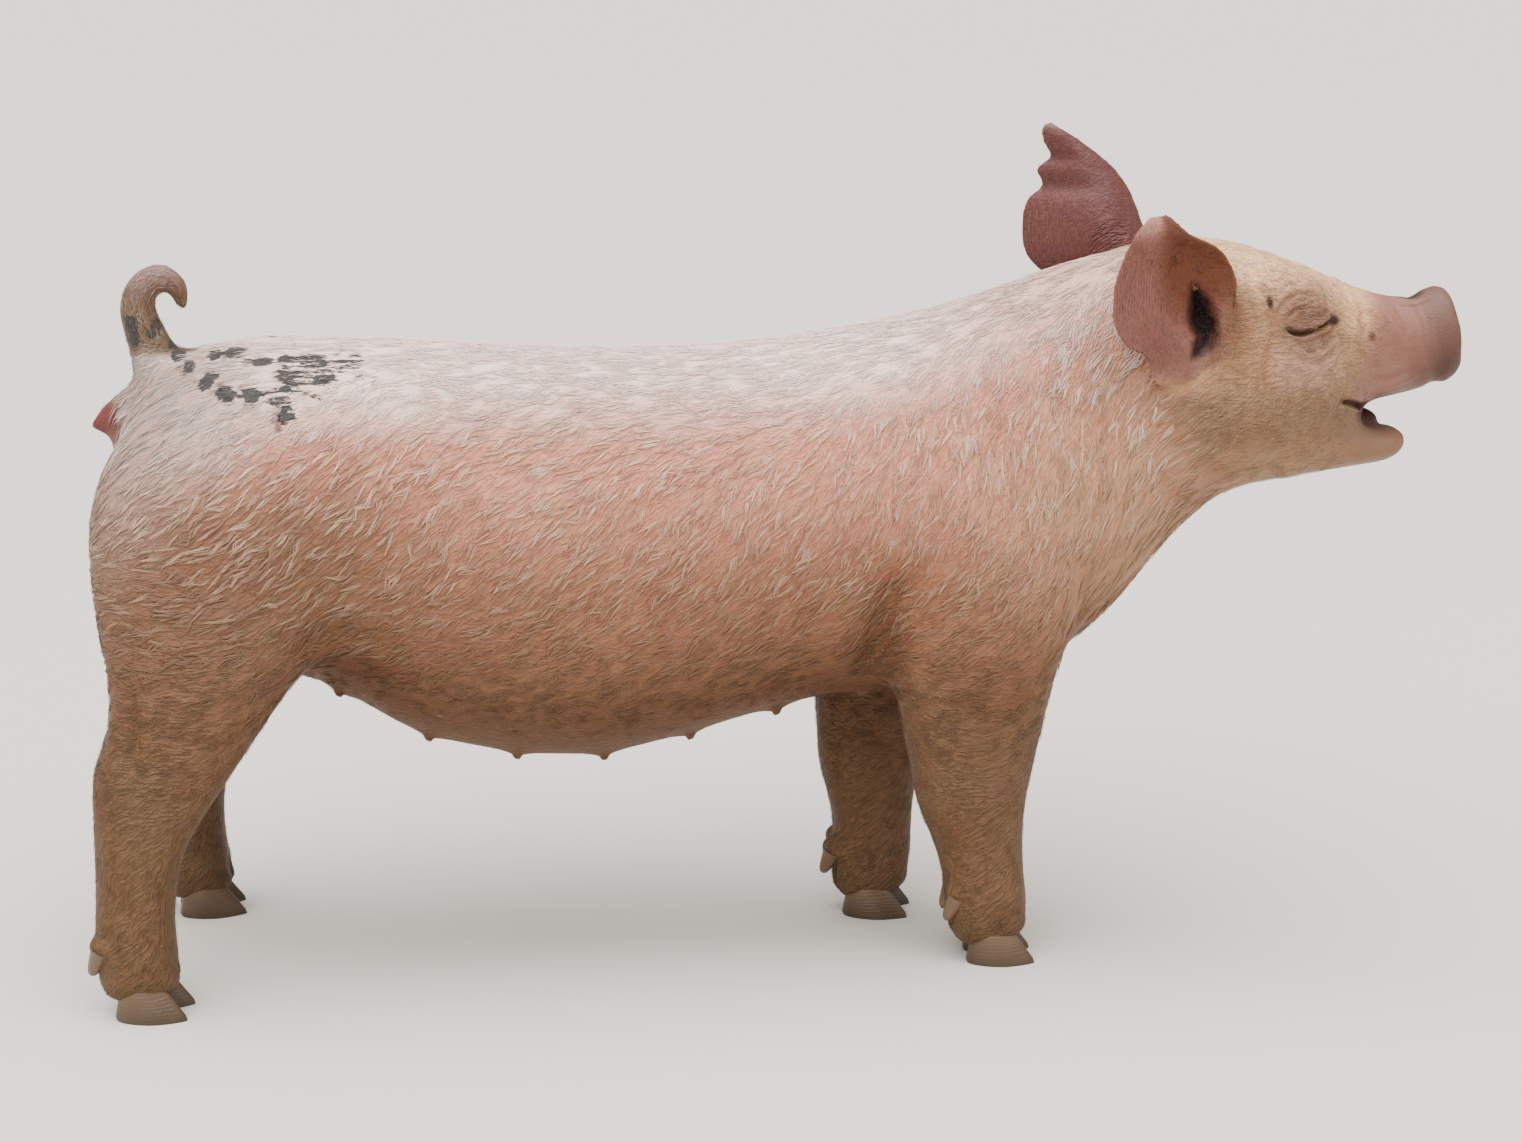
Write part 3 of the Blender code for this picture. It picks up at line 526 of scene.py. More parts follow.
BOTH = (-1, 1)
FOLDS = (  # sides it lies on, depth (negative raises), half width, x and z along it, in millimetres
    # the slit of the eye, half shut, and the folds of both lids
    (BOTH, 4.6, 1.4, (352, 439.2), (357, 437.2), (362.5, 436.4), (369, 437.8), (377, 441),
     (385.5, 444.2)),
    (BOTH, -1.1, 2, (354, 442.5), (360, 440.5), (367, 441.5), (376, 444.5), (384, 447.5)),
    (BOTH, -1.1, 2, (354, 434.5), (361, 432.5), (369, 433.5), (378, 437), (386, 440.5)),
    (BOTH, 1.4, 1.4, (353, 447.5), (361, 453), (371, 454), (381, 450)),
    (BOTH, 1.5, 1.7, (346, 451), (353, 459), (364, 463), (377, 459)),
    (BOTH, 1.2, 1.6, (349, 464), (358, 470), (370, 470.5), (382, 465)),
    (BOTH, 1, 1.6, (357, 431), (366, 425.5), (377, 426), (386, 433)),
    (BOTH, 1.3, 2.3, (352, 429), (361, 419), (375, 416), (389, 425)),
    (BOTH, 0.7, 2.6, (350, 416), (361, 408), (376, 405)),
    (BOTH, 1.5, 1.8, (385.5, 444), (391, 437), (394, 427)),
    # where the muzzle meets the cheek, and wrinkles across the nose and round the lips
    (BOTH, 1.6, 3.2, (413, 456), (411, 440), (412, 427), (417, 413), (424, 403)),
    (BOTH, 1, 2.2, (454, 458.5), (457.5, 448), (460, 435), (462, 420), (465, 408)),
    (BOTH, 1.6, 1.3, (445, 456), (453, 459), (460, 461)),
    (BOTH, 4.6, 1.8, (424, 378), (414, 382.2), (404, 385.8), (395, 388.6)),
    (BOTH, 0.8, 1.8, (440, 454), (443, 444), (446.5, 433)),
    (BOTH, 0.7, 1.8, (427, 457), (430, 447), (432, 438)),
    (BOTH, 1.2, 1.6, (402, 390), (398.5, 384), (399, 376)),
    (BOTH, 1, 1.8, (396, 393), (392, 385), (393, 374)),
    (BOTH, -1, 2.4, (411, 390.5), (423, 393), (437, 396.5), (452, 402)),
    (BOTH, 0.9, 2.2, (419, 400), (432, 401), (446, 406)),
    # the ridge in front of the ear, then cheek, jowl and neck
    (BOTH, -1.8, 5, (324, 480), (332, 458), (334, 435), (326, 408)),
    (BOTH, 1.6, 6, (338, 433), (335, 415), (341, 396)),
    (BOTH, 2.2, 9, (268, 402), (262, 380), (266, 350), (278, 320)),
    (BOTH, 1.4, 8, (246, 405), (235, 370), (238, 330)),
    ((1,), 2, 8, (255, 440), (250, 410), (255, 380)),
    # behind the shoulder, the pocket of the elbow, and the fold from flank to stifle
    (BOTH, 2.2, 14, (60, 390), (56, 350), (62, 310), (78, 280)),
    (BOTH, 6, 10.5, (86, 282), (76, 258), (69, 238), (62, 208)),
    (BOTH, 1.8, 12, (150, 365), (185, 325), (200, 285)),
    (BOTH, 2, 8.5, (-318, 245), (-296, 254), (-272, 253), (-248, 243)),
    (BOTH, -1.2, 7, (-312, 231), (-292, 239), (-270, 239), (-250, 230)),
    (BOTH, 2, 16, (-285, 390), (-265, 340), (-272, 290)),
    # between heel tendon and shank, and over the hock
    (BOTH, 3.2, 6.5, (-425, 225), (-424, 195), (-427, 165)),
    (BOTH, 1.2, 4, (-375, 160), (-400, 152), (-425, 150)),
)


def on_hide(place, x, z, side):
    """The outermost point of the hide at this x and z on one side of the animal."""
    near = (np.abs(place[:, 0] - x) < 0.014) & (np.abs(place[:, 2] - z) < 0.014)
    near &= place[:, 1] * side > 0.004
    found = place[near]
    off = np.hypot(found[:, 0] - x, found[:, 2] - z)
    return found[np.argmax(np.abs(found[:, 1]) - 1.5 * off)]


def along(place, path):
    """Distance of every point from a path, and how far along it lies, as a share of its length."""
    lengths = np.linalg.norm(np.diff(path, axis=0), axis=1)
    best, share, passed = np.full(len(place), 9.0), np.zeros(len(place)), 0.0
    for start, end, length in zip(path[:-1], path[1:], lengths):
        t = np.clip(((place - start) @ (end - start)) / length**2, 0, 1)
        far = np.linalg.norm(place - start - t[:, None] * (end - start), axis=1)
        closer = far < best
        best = np.where(closer, far, best)
        share = np.where(closer, (passed + t * length) / lengths.sum(), share)
        passed += length
    return best, share


place, out = surface(hide)

# the hide lies under the solids by the depth of the coat, which is least on muzzle and low leg
COAT_DEPTH, LEAST_DEPTH = 0.0012, 0.0005
bare = smooth_step(place[:, 0], 0.36, 0.42)
low_leg = smooth_step(-place[:, 2], -0.14, -0.05)
place -= out * (COAT_DEPTH + (LEAST_DEPTH - COAT_DEPTH) * np.maximum(bare, low_leg))[:, None]

# lids over the eyeballs
LID = EYE_RADIUS + 0.0016
LID_SWELL, SWELL_WIDTH = 0.0012, 0.004
for side in (-1, 1):
    off = place - np.array(EYE_CENTRE) * (1, side, 1)
    far = np.linalg.norm(off, axis=1)
    outer = (far < 0.022) & (off[:, 1] * side > -0.002)
    wanted = np.where(far < LID, LID, far)
    wanted = wanted + LID_SWELL * bell((far - LID) / SWELL_WIDTH)
    place[outer] += (off * (wanted / np.maximum(far, 1e-6) - 1)[:, None])[outer]
reshape(hide, place)
near_eye = np.linalg.norm(np.abs(place) - np.array(EYE_CENTRE), axis=1) < 0.026
relax(hide, 4, 0.5 * near_eye, 0.5 * near_eye)

place, out = surface(hide)
moved = np.zeros(len(place))
for sides, depth, width, *points in FOLDS:
    (depth, width), *points = metres(2, ((depth, width), *points))
    for side in sides:
        path = np.array(through([on_hide(place, x, z, side) for x, z in points], 4))
        low, high = path.min(axis=0) - 4 * width, path.max(axis=0) + 4 * width
        near = np.nonzero(((place > low) & (place < high)).all(axis=1))[0]
        off, share = along(place[near], path)
        ends = smooth_step(share, -0.12, 0.18) * smooth_step(-share, -1.12, -0.82)
        lips = 0.28 * bell(off / width - 2.1)
        moved[near] -= depth * ends * (bell(off / width) - lips)

# the disc of the snout: a raised rim, a slight hollow inside it with a groove, and two nostrils
DISC, DISC_HALF_WIDTH, DISC_HALF_HEIGHT = np.array((0.4853, 0.0, 0.43)), 0.0275, 0.03
RIM_RISE, HOLLOW_DEPTH, GROOVE_DEPTH = 0.001, 0.0016, 0.0009
NOSTRIL_MIDDLE, NOSTRIL_HALF_WIDTH, NOSTRIL_HALF_HEIGHT = (0.486, 0.0112, 0.431), 0.0042, 0.0056
off = place - DISC
far = np.hypot(off[:, 1] / DISC_HALF_WIDTH, off[:, 2] / DISC_HALF_HEIGHT)
on_disc = (place[:, 0] > 0.468) * smooth_step(out[:, 0], 0.2, 0.75)
moved += on_disc * (RIM_RISE * bell((far - 0.86) / 0.11) - HOLLOW_DEPTH * (far < 0.74))
moved -= on_disc * GROOVE_DEPTH * bell(place[:, 1] / 0.0016) * (far < 0.8)
place += out * moved[:, None]
level = place[:, 0] + 0.25 * (place[:, 2] - DISC[2])
flared = 0.0015 * smooth_step(level, 0.4655, 0.472) - 0.0013 * bell((level - 0.461) / 0.0045)
outwards = (place - DISC) * (0, 1, 1)
place += flared[:, None] * outwards / np.maximum(np.linalg.norm(outwards, axis=1), 0.006)[:, None]
for side in (-1, 1):
    off = place - np.array(NOSTRIL_MIDDLE) * (1, side, 1)
    slanted = (off[:, 1] + side * 0.25 * off[:, 2]) / NOSTRIL_HALF_WIDTH
    far = np.hypot(slanted, off[:, 2] / NOSTRIL_HALF_HEIGHT)
    sunk = (place[:, 0] > 0.47) * on_disc * (1 - smooth_step(far, 0.55, 1.05))
    place += sunk[:, None] * np.array((-0.0105, side * 0.0015, 0.002))
    lip = (place[:, 0] > 0.47) * on_disc * bell((far - 1.25) / 0.22)
    place += lip[:, None] * np.array((0.0011, 0, 0))

# the ear canal, a narrow funnel behind the front rim of each ear
CANALS = (  # side, depth, then x and z along it
    (-1, 0.015, ((0.285, 0.468), (0.2895, 0.457), (0.2915, 0.447), (0.291, 0.437), (0.288, 0.428))),
    (1, 0.006, ((0.264, 0.49), (0.268, 0.475), (0.272, 0.46), (0.273, 0.448))),
)
canal = np.zeros(len(place))
for side, bored, points in CANALS:
    path = np.array([on_hide(place, x, z, side) for x, z in points])
    off, share = along(place, path)
    bore = np.sin(np.pi * share)
    deep = bell(off / (0.003 + 0.0038 * bore)) * (0.45 + 0.55 * bore)
    canal = np.maximum(canal, deep * smooth_step(out[:, 1] * side, -0.5, 0.0))
    place += deep[:, None] * np.array((0.2 * bored, -side * bored, 0.0))

# teats, each a short blunt nipple on a low mound
for x, y, z in TEATS:
    for side in (-1, 1):
        off = np.hypot(place[:, 0] - x, place[:, 1] - side * y)
        below = (off < 0.014) & (place[:, 2] < z + 0.03)
        rise = 0.003 * (1 - smooth_step(off, 0.0014, 0.0042)) + 0.0012 * bell(off / 0.008)
        place[:, 2] -= rise * below
reshape(hide, place)

# the cleft between the claws, front and back, and the wart beside the right eye
CLEFT_DEPTH, CLEFT_HALF_WIDTH, WART_RISE = 0.0075, 0.0036, 0.0022
place, _ = surface(hide)
for name, levels, side, ahead, swings_below, toe_in in STANCES:
    off = place - np.array(stand_of(levels, side, ahead, 0).translation)
    turn = -toe_in * side
    spun = off[:, 0] * math.cos(turn) - off[:, 1] * math.sin(turn)
    across = off[:, 0] * math.sin(turn) + off[:, 1] * math.cos(turn)
    here = (np.abs(spun) < 0.045) * (np.abs(across) < 0.03) * (place[:, 2] < 0.06)
    cleft = here * bell(across / CLEFT_HALF_WIDTH) * smooth_step(-place[:, 2], -0.046, -0.026)
    place[:, 0] -= CLEFT_DEPTH * cleft * np.sign(spun)
    flare = here * smooth_step(-place[:, 2], -0.034, -0.022) * smooth_step(spun, 0.0, 0.02)
    place[:, 0] += 0.003 * flare
reshape(hide, place)
wart = on_hide(place, 0.34, 0.458, -1)
off = (place - wart) / (0.0022, 0.004, 0.0042)
place[:, 1] -= WART_RISE * np.exp(-(off**2).sum(axis=1))
reshape(hide, place)

# the colours of the hide, as one tone at every point, and how its hair lies there; some tones hold
# painted light and painted shade
# the pale back is partly painted light from above; the middle, lower and shank tones are the skin's
# own colour darkened downwards by painted shade
BACK_LIT, FLANK, MIDDLE_SHADED = (0.9, 0.68, 0.6), (0.445, 0.19, 0.12), (0.205, 0.091, 0.048)
# painted shade for the underside and the deepest folds
LOWER_SHADED, UNDER_SHADE = (0.118, 0.057, 0.026), (0.085, 0.034, 0.012)
RUMP, HAM = (0.4, 0.285, 0.24), (0.132, 0.065, 0.034)
SHANK_SHADED, DIRT = (0.102, 0.053, 0.024), (0.075, 0.041, 0.016)
CHEEK, THROAT, FOREHEAD = (0.29, 0.16, 0.08), (0.36, 0.2, 0.108), (0.7, 0.44, 0.24)
JOWL, CHIN = (0.165, 0.093, 0.048), (0.15, 0.084, 0.05)
LID_SKIN_SHADED, SLIT_SHADE, UNDER_EYE = (0.12, 0.06, 0.037), (0.06, 0.03, 0.02), (0.31, 0.195, 0.145)
MUZZLE, DISC_SKIN_SHADED, LIP_AND_SHADE = (0.215, 0.106, 0.079), (0.12, 0.062, 0.046), (0.055, 0.02, 0.014)
MOUTH_SHADE, HOLLOW_SHADE, VULVA_SKIN = (0.035, 0.008, 0.006), (0.02, 0.006, 0.005), (0.13, 0.036, 0.03)
TONGUE_SHADE, BUTTOCK, NAPE_SHADOW = (0.045, 0.012, 0.009), (0.27, 0.19, 0.155), (0.23, 0.11, 0.08)
EAR_BACK, EAR_TIP, EAR_INSIDE = (0.09, 0.032, 0.03), (0.125, 0.105, 0.088), (0.2, 0.082, 0.062)
EAR_LOBE, EAR_FOLD, EAR_FRONT = (0.155, 0.068, 0.05), (0.62, 0.34, 0.28), (0.13, 0.058, 0.03)
EAR_BROWN, CANAL_HALO_SHADE, CANAL_SHADE = (0.115, 0.034, 0.011), (0.05, 0.014, 0.006), (0.005, 0.0007, 0.0004)
TAIL_SKIN, TAIL_TOP, WART_AND_SHADE = (0.105, 0.066, 0.037), (0.2, 0.115, 0.105), (0.03, 0.012, 0.009)
LEFT_EAR_ROOT = (0.256, 0.066, 0.496)
MOUTH_CORNER = ((0.415, 0.3818), (0.4105, 0.3835), (0.4055, 0.3852), (0.4005, 0.3869))  # x, z of the painted shade along the slit at the corner of the mouth
SPOTS = metres(6, (  # x, y, z of the middle and the reach along x, y and z of each grey-black spot
    (-422, -10, 447, 6.2, 14, 8),  # on the tail
    (-420, -11, 438, 4.6, 14, 7.8),
    (-405, -7, 447, 5, 10, 4.2),
    (-408, -10, 441, 4.6, 10, 4.2),
    (-395, -3, 433, 5, 12, 4.2),  # down the tail head
    (-391, -14, 427, 6.4, 16, 5),
    (-382, -33, 422, 6, 20, 4.2),
    (-366, -53, 419, 6.2, 20, 4.2),  # chain over the rump
    (-371, -61, 414.5, 5.6, 20, 5),
    (-356, -73, 410, 8.2, 20, 6.4),
    (-339, -75, 409, 8.4, 20, 6.4),
    (-321, -79, 404, 8, 20, 5),  # the lowest ones
    (-317, -85, 396, 7.6, 20, 6.8),
    (-297, -74, 408.5, 6.6, 20, 4.4),
    (-317, -60, 420, 8.8, 20, 6.4),  # patch on the loin
    (-315, -70, 413, 8.4, 20, 5),
    (-295, -62, 418, 10.8, 20, 7),
    (-300, -46, 426, 11.5, 24, 6.4),
    (-366, -28, 429, 6.4, 20, 4),  # thin band beside the backbone
    (-352, -30, 431, 10, 20, 4.6),
    (-334, -46, 426.5, 10, 20, 2.8),
    (-318, -45, 427.5, 9, 20, 3.4),
    (-276, -48, 427, 9.2, 26, 7.4),  # two apart, ahead of the rest
    (-264, -62, 416, 6.6, 20, 5.4),
    (-323, 18, 434, 13, 14, 8),  # over the midline
    (-294, 36, 429, 9, 12, 7),
    (-356, 32, 428, 8, 12, 6),
))
LIE = metres(2, (  # x, z, and degrees by which the hair dips below straight back, on either side
    (-360, 440, 0), (-200, 435, 0), (-50, 430, 0), (80, 445, 2), (180, 475, 5),
    (-360, 390, 46), (-410, 350, 32), (-420, 285, 8), (-400, 220, 3), (-400, 160, 12),
    (-420, 90, 55), (-260, 385, 50), (-230, 330, 54), (-300, 330, 38), (-280, 275, 26),
    (-300, 220, 12), (-200, 240, 18), (-100, 405, 6), (-120, 375, 30), (-100, 335, 58),
    (-20, 330, 62), (-100, 285, 44), (-100, 235, 20), (-100, 175, 8), (0, 405, 12),
    (50, 360, 66), (90, 385, 76), (90, 325, 66), (50, 275, 40), (40, 215, 18),
    (140, 365, 86), (140, 300, 58), (130, 250, 26), (140, 200, 6), (140, 145, 6),
    (150, 80, 50), (170, 425, 72), (220, 450, 68), (210, 365, 82), (240, 320, 66),
    (200, 270, 48), (290, 345, 38), (300, 480, -8), (350, 465, -18), (400, 445, -14),
    (450, 430, -4), (330, 405, 14), (360, 370, 10), (380, 345, 6), (430, 350, 4),
))


def mixed(base, colour, share):
    return base + (np.array(colour) - base) * np.asarray(share)[:, None]


def spot_depth(points):
    """How deep a point lies in the nearest spot: 1 at its middle, 0 on its rim, less outside."""
    deepest = np.full(len(points), -2.0)
    for spot in SPOTS:
        far = np.linalg.norm((points - spot[:3]) / np.array(spot[3:]), axis=1)
        deepest = np.maximum(deepest, 1 - far)
    return deepest


def coat_lie(points, normals):
    """The way the hair points, as unit vectors along the hide."""
    pull = np.zeros((len(points), 2))
    for x, z, dip in LIE:
        near = 1 / (((points[:, 0] - x) ** 2 + (points[:, 2] - z) ** 2) ** 1.5 + 1e-6)
        turn = math.radians(dip)
        pull += near[:, None] * (-math.cos(turn), -math.sin(turn))
    lie = np.stack([pull[:, 0], np.zeros(len(points)), pull[:, 1]], axis=1)
    lie /= np.linalg.norm(lie, axis=1, keepdims=True)
    path = np.array(through(TAIL, 4))[:, :3]
    on_tail = (points[:, 0] < -0.375) & (points[:, 2] > 0.435)
    ahead = np.gradient(path, axis=0)
    for i in np.nonzero(on_tail)[0]:
        lie[i] = ahead[np.argmin(((path - points[i]) ** 2).sum(axis=1))]
    lie -= normals * (lie * normals).sum(axis=1, keepdims=True)
    return lie / np.maximum(np.linalg.norm(lie, axis=1, keepdims=True), 1e-6)


def off_brown(leaf):
    """How far points of an ear lie from its brown hollow, behind the upper front rim."""
    return np.hypot((leaf[:, 1] - 0.7) / 0.4, (leaf[:, 2] - 0.6) / 0.3)


def leaf_share(points):
    """For points on the ears: side, share from rear rim to front rim, share of the height, depth."""
    tree = KDTree(len(leaf_points))
    for i, row in enumerate(leaf_points):
        tree.insert(row[3:], i)
    tree.balance()
    found = np.zeros((len(points), 4))
    near = (points[:, 0] > 0.18) & (points[:, 0] < 0.33) & (points[:, 2] > 0.39)
    for i in np.nonzero(near & (np.abs(points[:, 1]) > 0.055))[0]:
        _, which, far = tree.find(points[i])
        if far < 0.007:
            side, across, up, _, y, _ = leaf_points[which]
            fade = 1 - smooth_step(far, 0.003, 0.007)
            found[i] = side * fade, across, up, (points[i][1] - y) * side
    return found


def hide_tone(points, normals, leaf):
    """The colour of the hide at every point: one tone laid over another, from the flank's on."""
    x, y, z = points.T
    right, left = y < 0, y > 0

    def near(at, reach, edge=0.3):
        return patch(points, at, reach, edge)

    rise = z - 0.1 * np.maximum(x, 0) - 0.2 * np.maximum(x - 0.08, 0)  # above the sloping topline
    jowl_height = smooth_step(-z, -0.425, -0.385) * (1 - 0.6 * smooth_step(-z, -0.372, -0.352))
    muzzle_on = x - 0.25 * (z - 0.43) - 0.045 * smooth_step(-z, -0.392, -0.372)
    forehead = smooth_step(z + 0.35 * (x - 0.3), 0.462, 0.492)
    on_disc = smooth_step(x + 0.25 * (z - 0.43), 0.455, 0.475)
    mouth = near((0.425, 0, 0.379), (0.045, 0.05, 0.013), 0.25)
    mouth *= 1 - smooth_step(np.abs(y), 0.018, 0.028)
    level = smooth_step(np.abs(normals[:, 2]), 0.4, 0.75)
    mouth_back = (x < 0.41) * (np.abs(normals[:, 1]) < 0.6)
    in_nostril = np.hypot((np.abs(y) - 0.0112) / 0.0046, (z - 0.431) / 0.0062)
    in_nostril = (x > 0.46) * (1 - smooth_step(in_nostril, 0.75, 1.15))
    tail = near((-0.405, 0, 0.455), (0.04, 0.022, 0.038), 0.15)
    ear_root = left * near(LEFT_EAR_ROOT, (0.045, 0.03, 0.036), 0.4)
    tone = np.tile(np.array(FLANK, float), (len(points), 1))
    for colour, share in (
        # painted shade darkening down the body and legs, and painted light on the back
        (MIDDLE_SHADED, smooth_step(-z, -0.36, -0.265)),
        (HAM, 0.85 * smooth_step(-x, 0.18, 0.3) * smooth_step(-z, -0.395, -0.325)),
        (LOWER_SHADED, smooth_step(-z, -0.265, -0.185)),
        (BACK_LIT, (1 - 0.6 * smooth_step(x, 0.06, 0.2)) * smooth_step(rise, 0.37, 0.425)),
        (RUMP, 0.9 * near((-0.385, 0.05, 0.395), (0.06, 0.075, 0.048), 0.5)),
        (BUTTOCK, 0.85 * near((-0.435, 0.03, 0.37), (0.058, 0.1, 0.066), 0.7)),
        # painted shadow of the right ear on the neck behind it
        (NAPE_SHADOW, 0.6 * right * near((0.232, 0.09, 0.415), (0.034, 0.05, 0.042), 0.8)),
        # painted shade on low skin that faces down
        (UNDER_SHADE, 0.85 * smooth_step(-normals[:, 2], 0.3, 0.85) * smooth_step(-z, -0.3, -0.2)),
        (SHANK_SHADED, smooth_step(-z, -0.21, -0.14)),
        # painted shade in the pocket of the elbow and in the fold from flank to stifle
        (UNDER_SHADE, 0.7 * near((0.074, 0.105, 0.24), (0.016, 0.05, 0.045), 0.7)),
        (UNDER_SHADE, 0.8 * near((-0.275, 0.07, 0.222), (0.038, 0.05, 0.024), 0.7)),
        (THROAT, near((0.235, 0, 0.33), (0.085, 0.15, 0.075), 0.8)),
        (CHEEK, smooth_step(x + 0.3 * (z - 0.4), 0.255, 0.31)),
        (JOWL, smooth_step(x, 0.24, 0.29) * jowl_height),
        (FOREHEAD, 0.85 * forehead * smooth_step(x, 0.22, 0.28)),
        (UNDER_EYE, 0.7 * near((0.363, 0.052, 0.418), (0.024, 0.03, 0.016), 0.8)),
        # the lids' own darker skin, with painted shade round the slit
        (LID_SKIN_SHADED, 0.85 * near((0.367, 0.05, 0.45), (0.028, 0.03, 0.024), 0.8)),
        # painted shade along the slit of the eye and in the crease above it
        (SLIT_SHADE, 0.75 * near((0.356, 0.05, 0.439), (0.011, 0.02, 0.005), 0.8)),
        (SLIT_SHADE, 0.65 * near((0.374, 0.05, 0.448), (0.01, 0.02, 0.0045), 0.8)),
        # painted shade in the inner corner of the eye
        (WART_AND_SHADE, near((0.387, 0.045, 0.444), (0.0048, 0.02, 0.004), 0.6)),
        (MUZZLE, smooth_step(muzzle_on, 0.398, 0.428)),
        # the disc's own skin, darkened by painted shade as it turns from the light
        (DISC_SKIN_SHADED, on_disc),
        # the lips' own dark colour, used also as painted shade low on the disc and under it
        (LIP_AND_SHADE, 0.45 * on_disc * smooth_step(-z, -0.428, -0.4)),
        (LIP_AND_SHADE, 0.85 * near((0.474, 0, 0.4), (0.03, 0.04, 0.026), 0.9)),
        (CHIN, near((0.415, 0, 0.362), (0.045, 0.05, 0.022), 0.7)),
        # painted shade along the slit at the corner of the mouth
        *((LIP_AND_SHADE, 0.9 * near((x, 0.034, z), (0.004, 0.03, 0.002), 0.7)) for x, z in MOUTH_CORNER),
        (LIP_AND_SHADE, near((0.4155, 0.03, 0.3775), (0.005, 0.03, 0.008), 0.5)),
        # painted shade in the crease over the snout behind the disc
        (HOLLOW_SHADE, 0.9 * near((0.454, 0, 0.456), (0.009, 0.0085, 0.005), 0.5)),
        # painted shade inside the mouth and over the tongue
        (MOUTH_SHADE, mouth * np.maximum(level, mouth_back)),
        (TONGUE_SHADE, near((0.416, 0, 0.374), (0.028, 0.02, 0.0165), 0.35)),
        # painted shade inside the nostrils
        (HOLLOW_SHADE, in_nostril),
        (VULVA_SKIN, near((-0.447, 0, 0.38), (0.025, 0.03, 0.02), 0.35)),
        (TAIL_SKIN, tail),
        (TAIL_TOP, tail * smooth_step(z, 0.462, 0.484)),
        (EAR_FRONT, 0.85 * right * near((0.308, 0.072, 0.456), (0.02, 0.03, 0.034), 0.6)),
        (EAR_INSIDE, ear_root),
        (EAR_BACK, ear_root * smooth_step(-normals[:, 1], -0.3, 0.1)),
        (EAR_BROWN, right * near((0.285, 0.08, 0.469), (0.012, 0.03, 0.012), 0.5)),
    ):
        tone = mixed(tone, colour, share)
    side, across, up, outer = leaf.T
    back = np.tile(np.array(EAR_BACK), (len(points), 1))
    back = mixed(back, EAR_TIP, smooth_step(up, 0.86, 0.97))
    back = mixed(back, EAR_FRONT, (side < 0) * smooth_step(across, 0.78, 0.95))
    back = mixed(back, THROAT, (side < 0) * smooth_step(-up, -0.2, -0.06))
    cave = np.tile(np.array(EAR_INSIDE), (len(points), 1))
    for colour, share in (
        (EAR_LOBE, smooth_step(-up, -0.42, -0.22)),
        (EAR_FOLD, smooth_step(up, 0.72, 0.93) * smooth_step(-across, -0.75, -0.45)),
        (EAR_FRONT, smooth_step(across, 0.84, 1.0) * smooth_step(-up, -0.95, -0.8)),
        (EAR_BROWN, 0.95 * (1 - smooth_step(off_brown(leaf), 0.42, 1.0))),
    ):
        cave = mixed(cave, colour, share)
    cup = smooth_step(outer, -0.0008, 0.0012)[:, None]
    tone += (back * (1 - cup) + cave * cup - tone) * np.abs(side)[:, None]
    # mud on the hock, and darker towards the ground and low on the hind legs
    shin = near((-0.425, 0.095, 0.145), (0.035, 0.035, 0.045), 0.6)
    darkened_low = 0.75 * np.maximum(shin, smooth_step(-z, -0.055, -0.012))
    darkened_low = np.maximum(darkened_low, 0.45 * smooth_step(-x, 0.2, 0.3) * smooth_step(-z, -0.15, -0.08))
    tone = mixed(tone, DIRT, darkened_low)
    tone = mixed(tone, WART_AND_SHADE, right * near((0.34, 0.062, 0.458), (0.0028, 0.02, 0.005), 0.35))
    return mixed(tone, WART_AND_SHADE, 0.7 * right * near((0.417, 0.04, 0.431), (0.003, 0.02, 0.003), 0.5))


place, out = surface(hide)
leaf = leaf_share(place)
tone = hide_tone(place, out, leaf)
# painted shade in the ear canals: a soft dark halo round each, near black down inside it
tone = mixed(tone, CANAL_HALO_SHADE, 0.85 * smooth_step(canal, 0.01, 0.12))
tone = mixed(tone, CANAL_SHADE, smooth_step(canal, 0.1, 0.45))
muzzle = smooth_step(place[:, 0] - 0.25 * (place[:, 2] - 0.43), 0.396, 0.44)
hairy = np.clip(1 - muzzle - 0.8 * np.abs(leaf[:, 0]), 0, 1)
hairy *= 1 - 0.8 * patch(place, (-0.449, 0, 0.379), (0.022, 0.03, 0.017))


def write(data, name, kind, key, values):
    layer = data.attributes.new(name, kind, "POINT")
    layer.data.foreach_set(key, np.ascontiguousarray(values, np.float32).ravel())


write(hide.data, "tone", "FLOAT_COLOR", "color", np.hstack([tone, np.ones((len(place), 1))]))
write(hide.data, "spot", "FLOAT", "value", spot_depth(place))
write(hide.data, "hairy", "FLOAT", "value", hairy)
write(hide.data, "lie", "FLOAT_VECTOR", "vector", coat_lie(place, out))


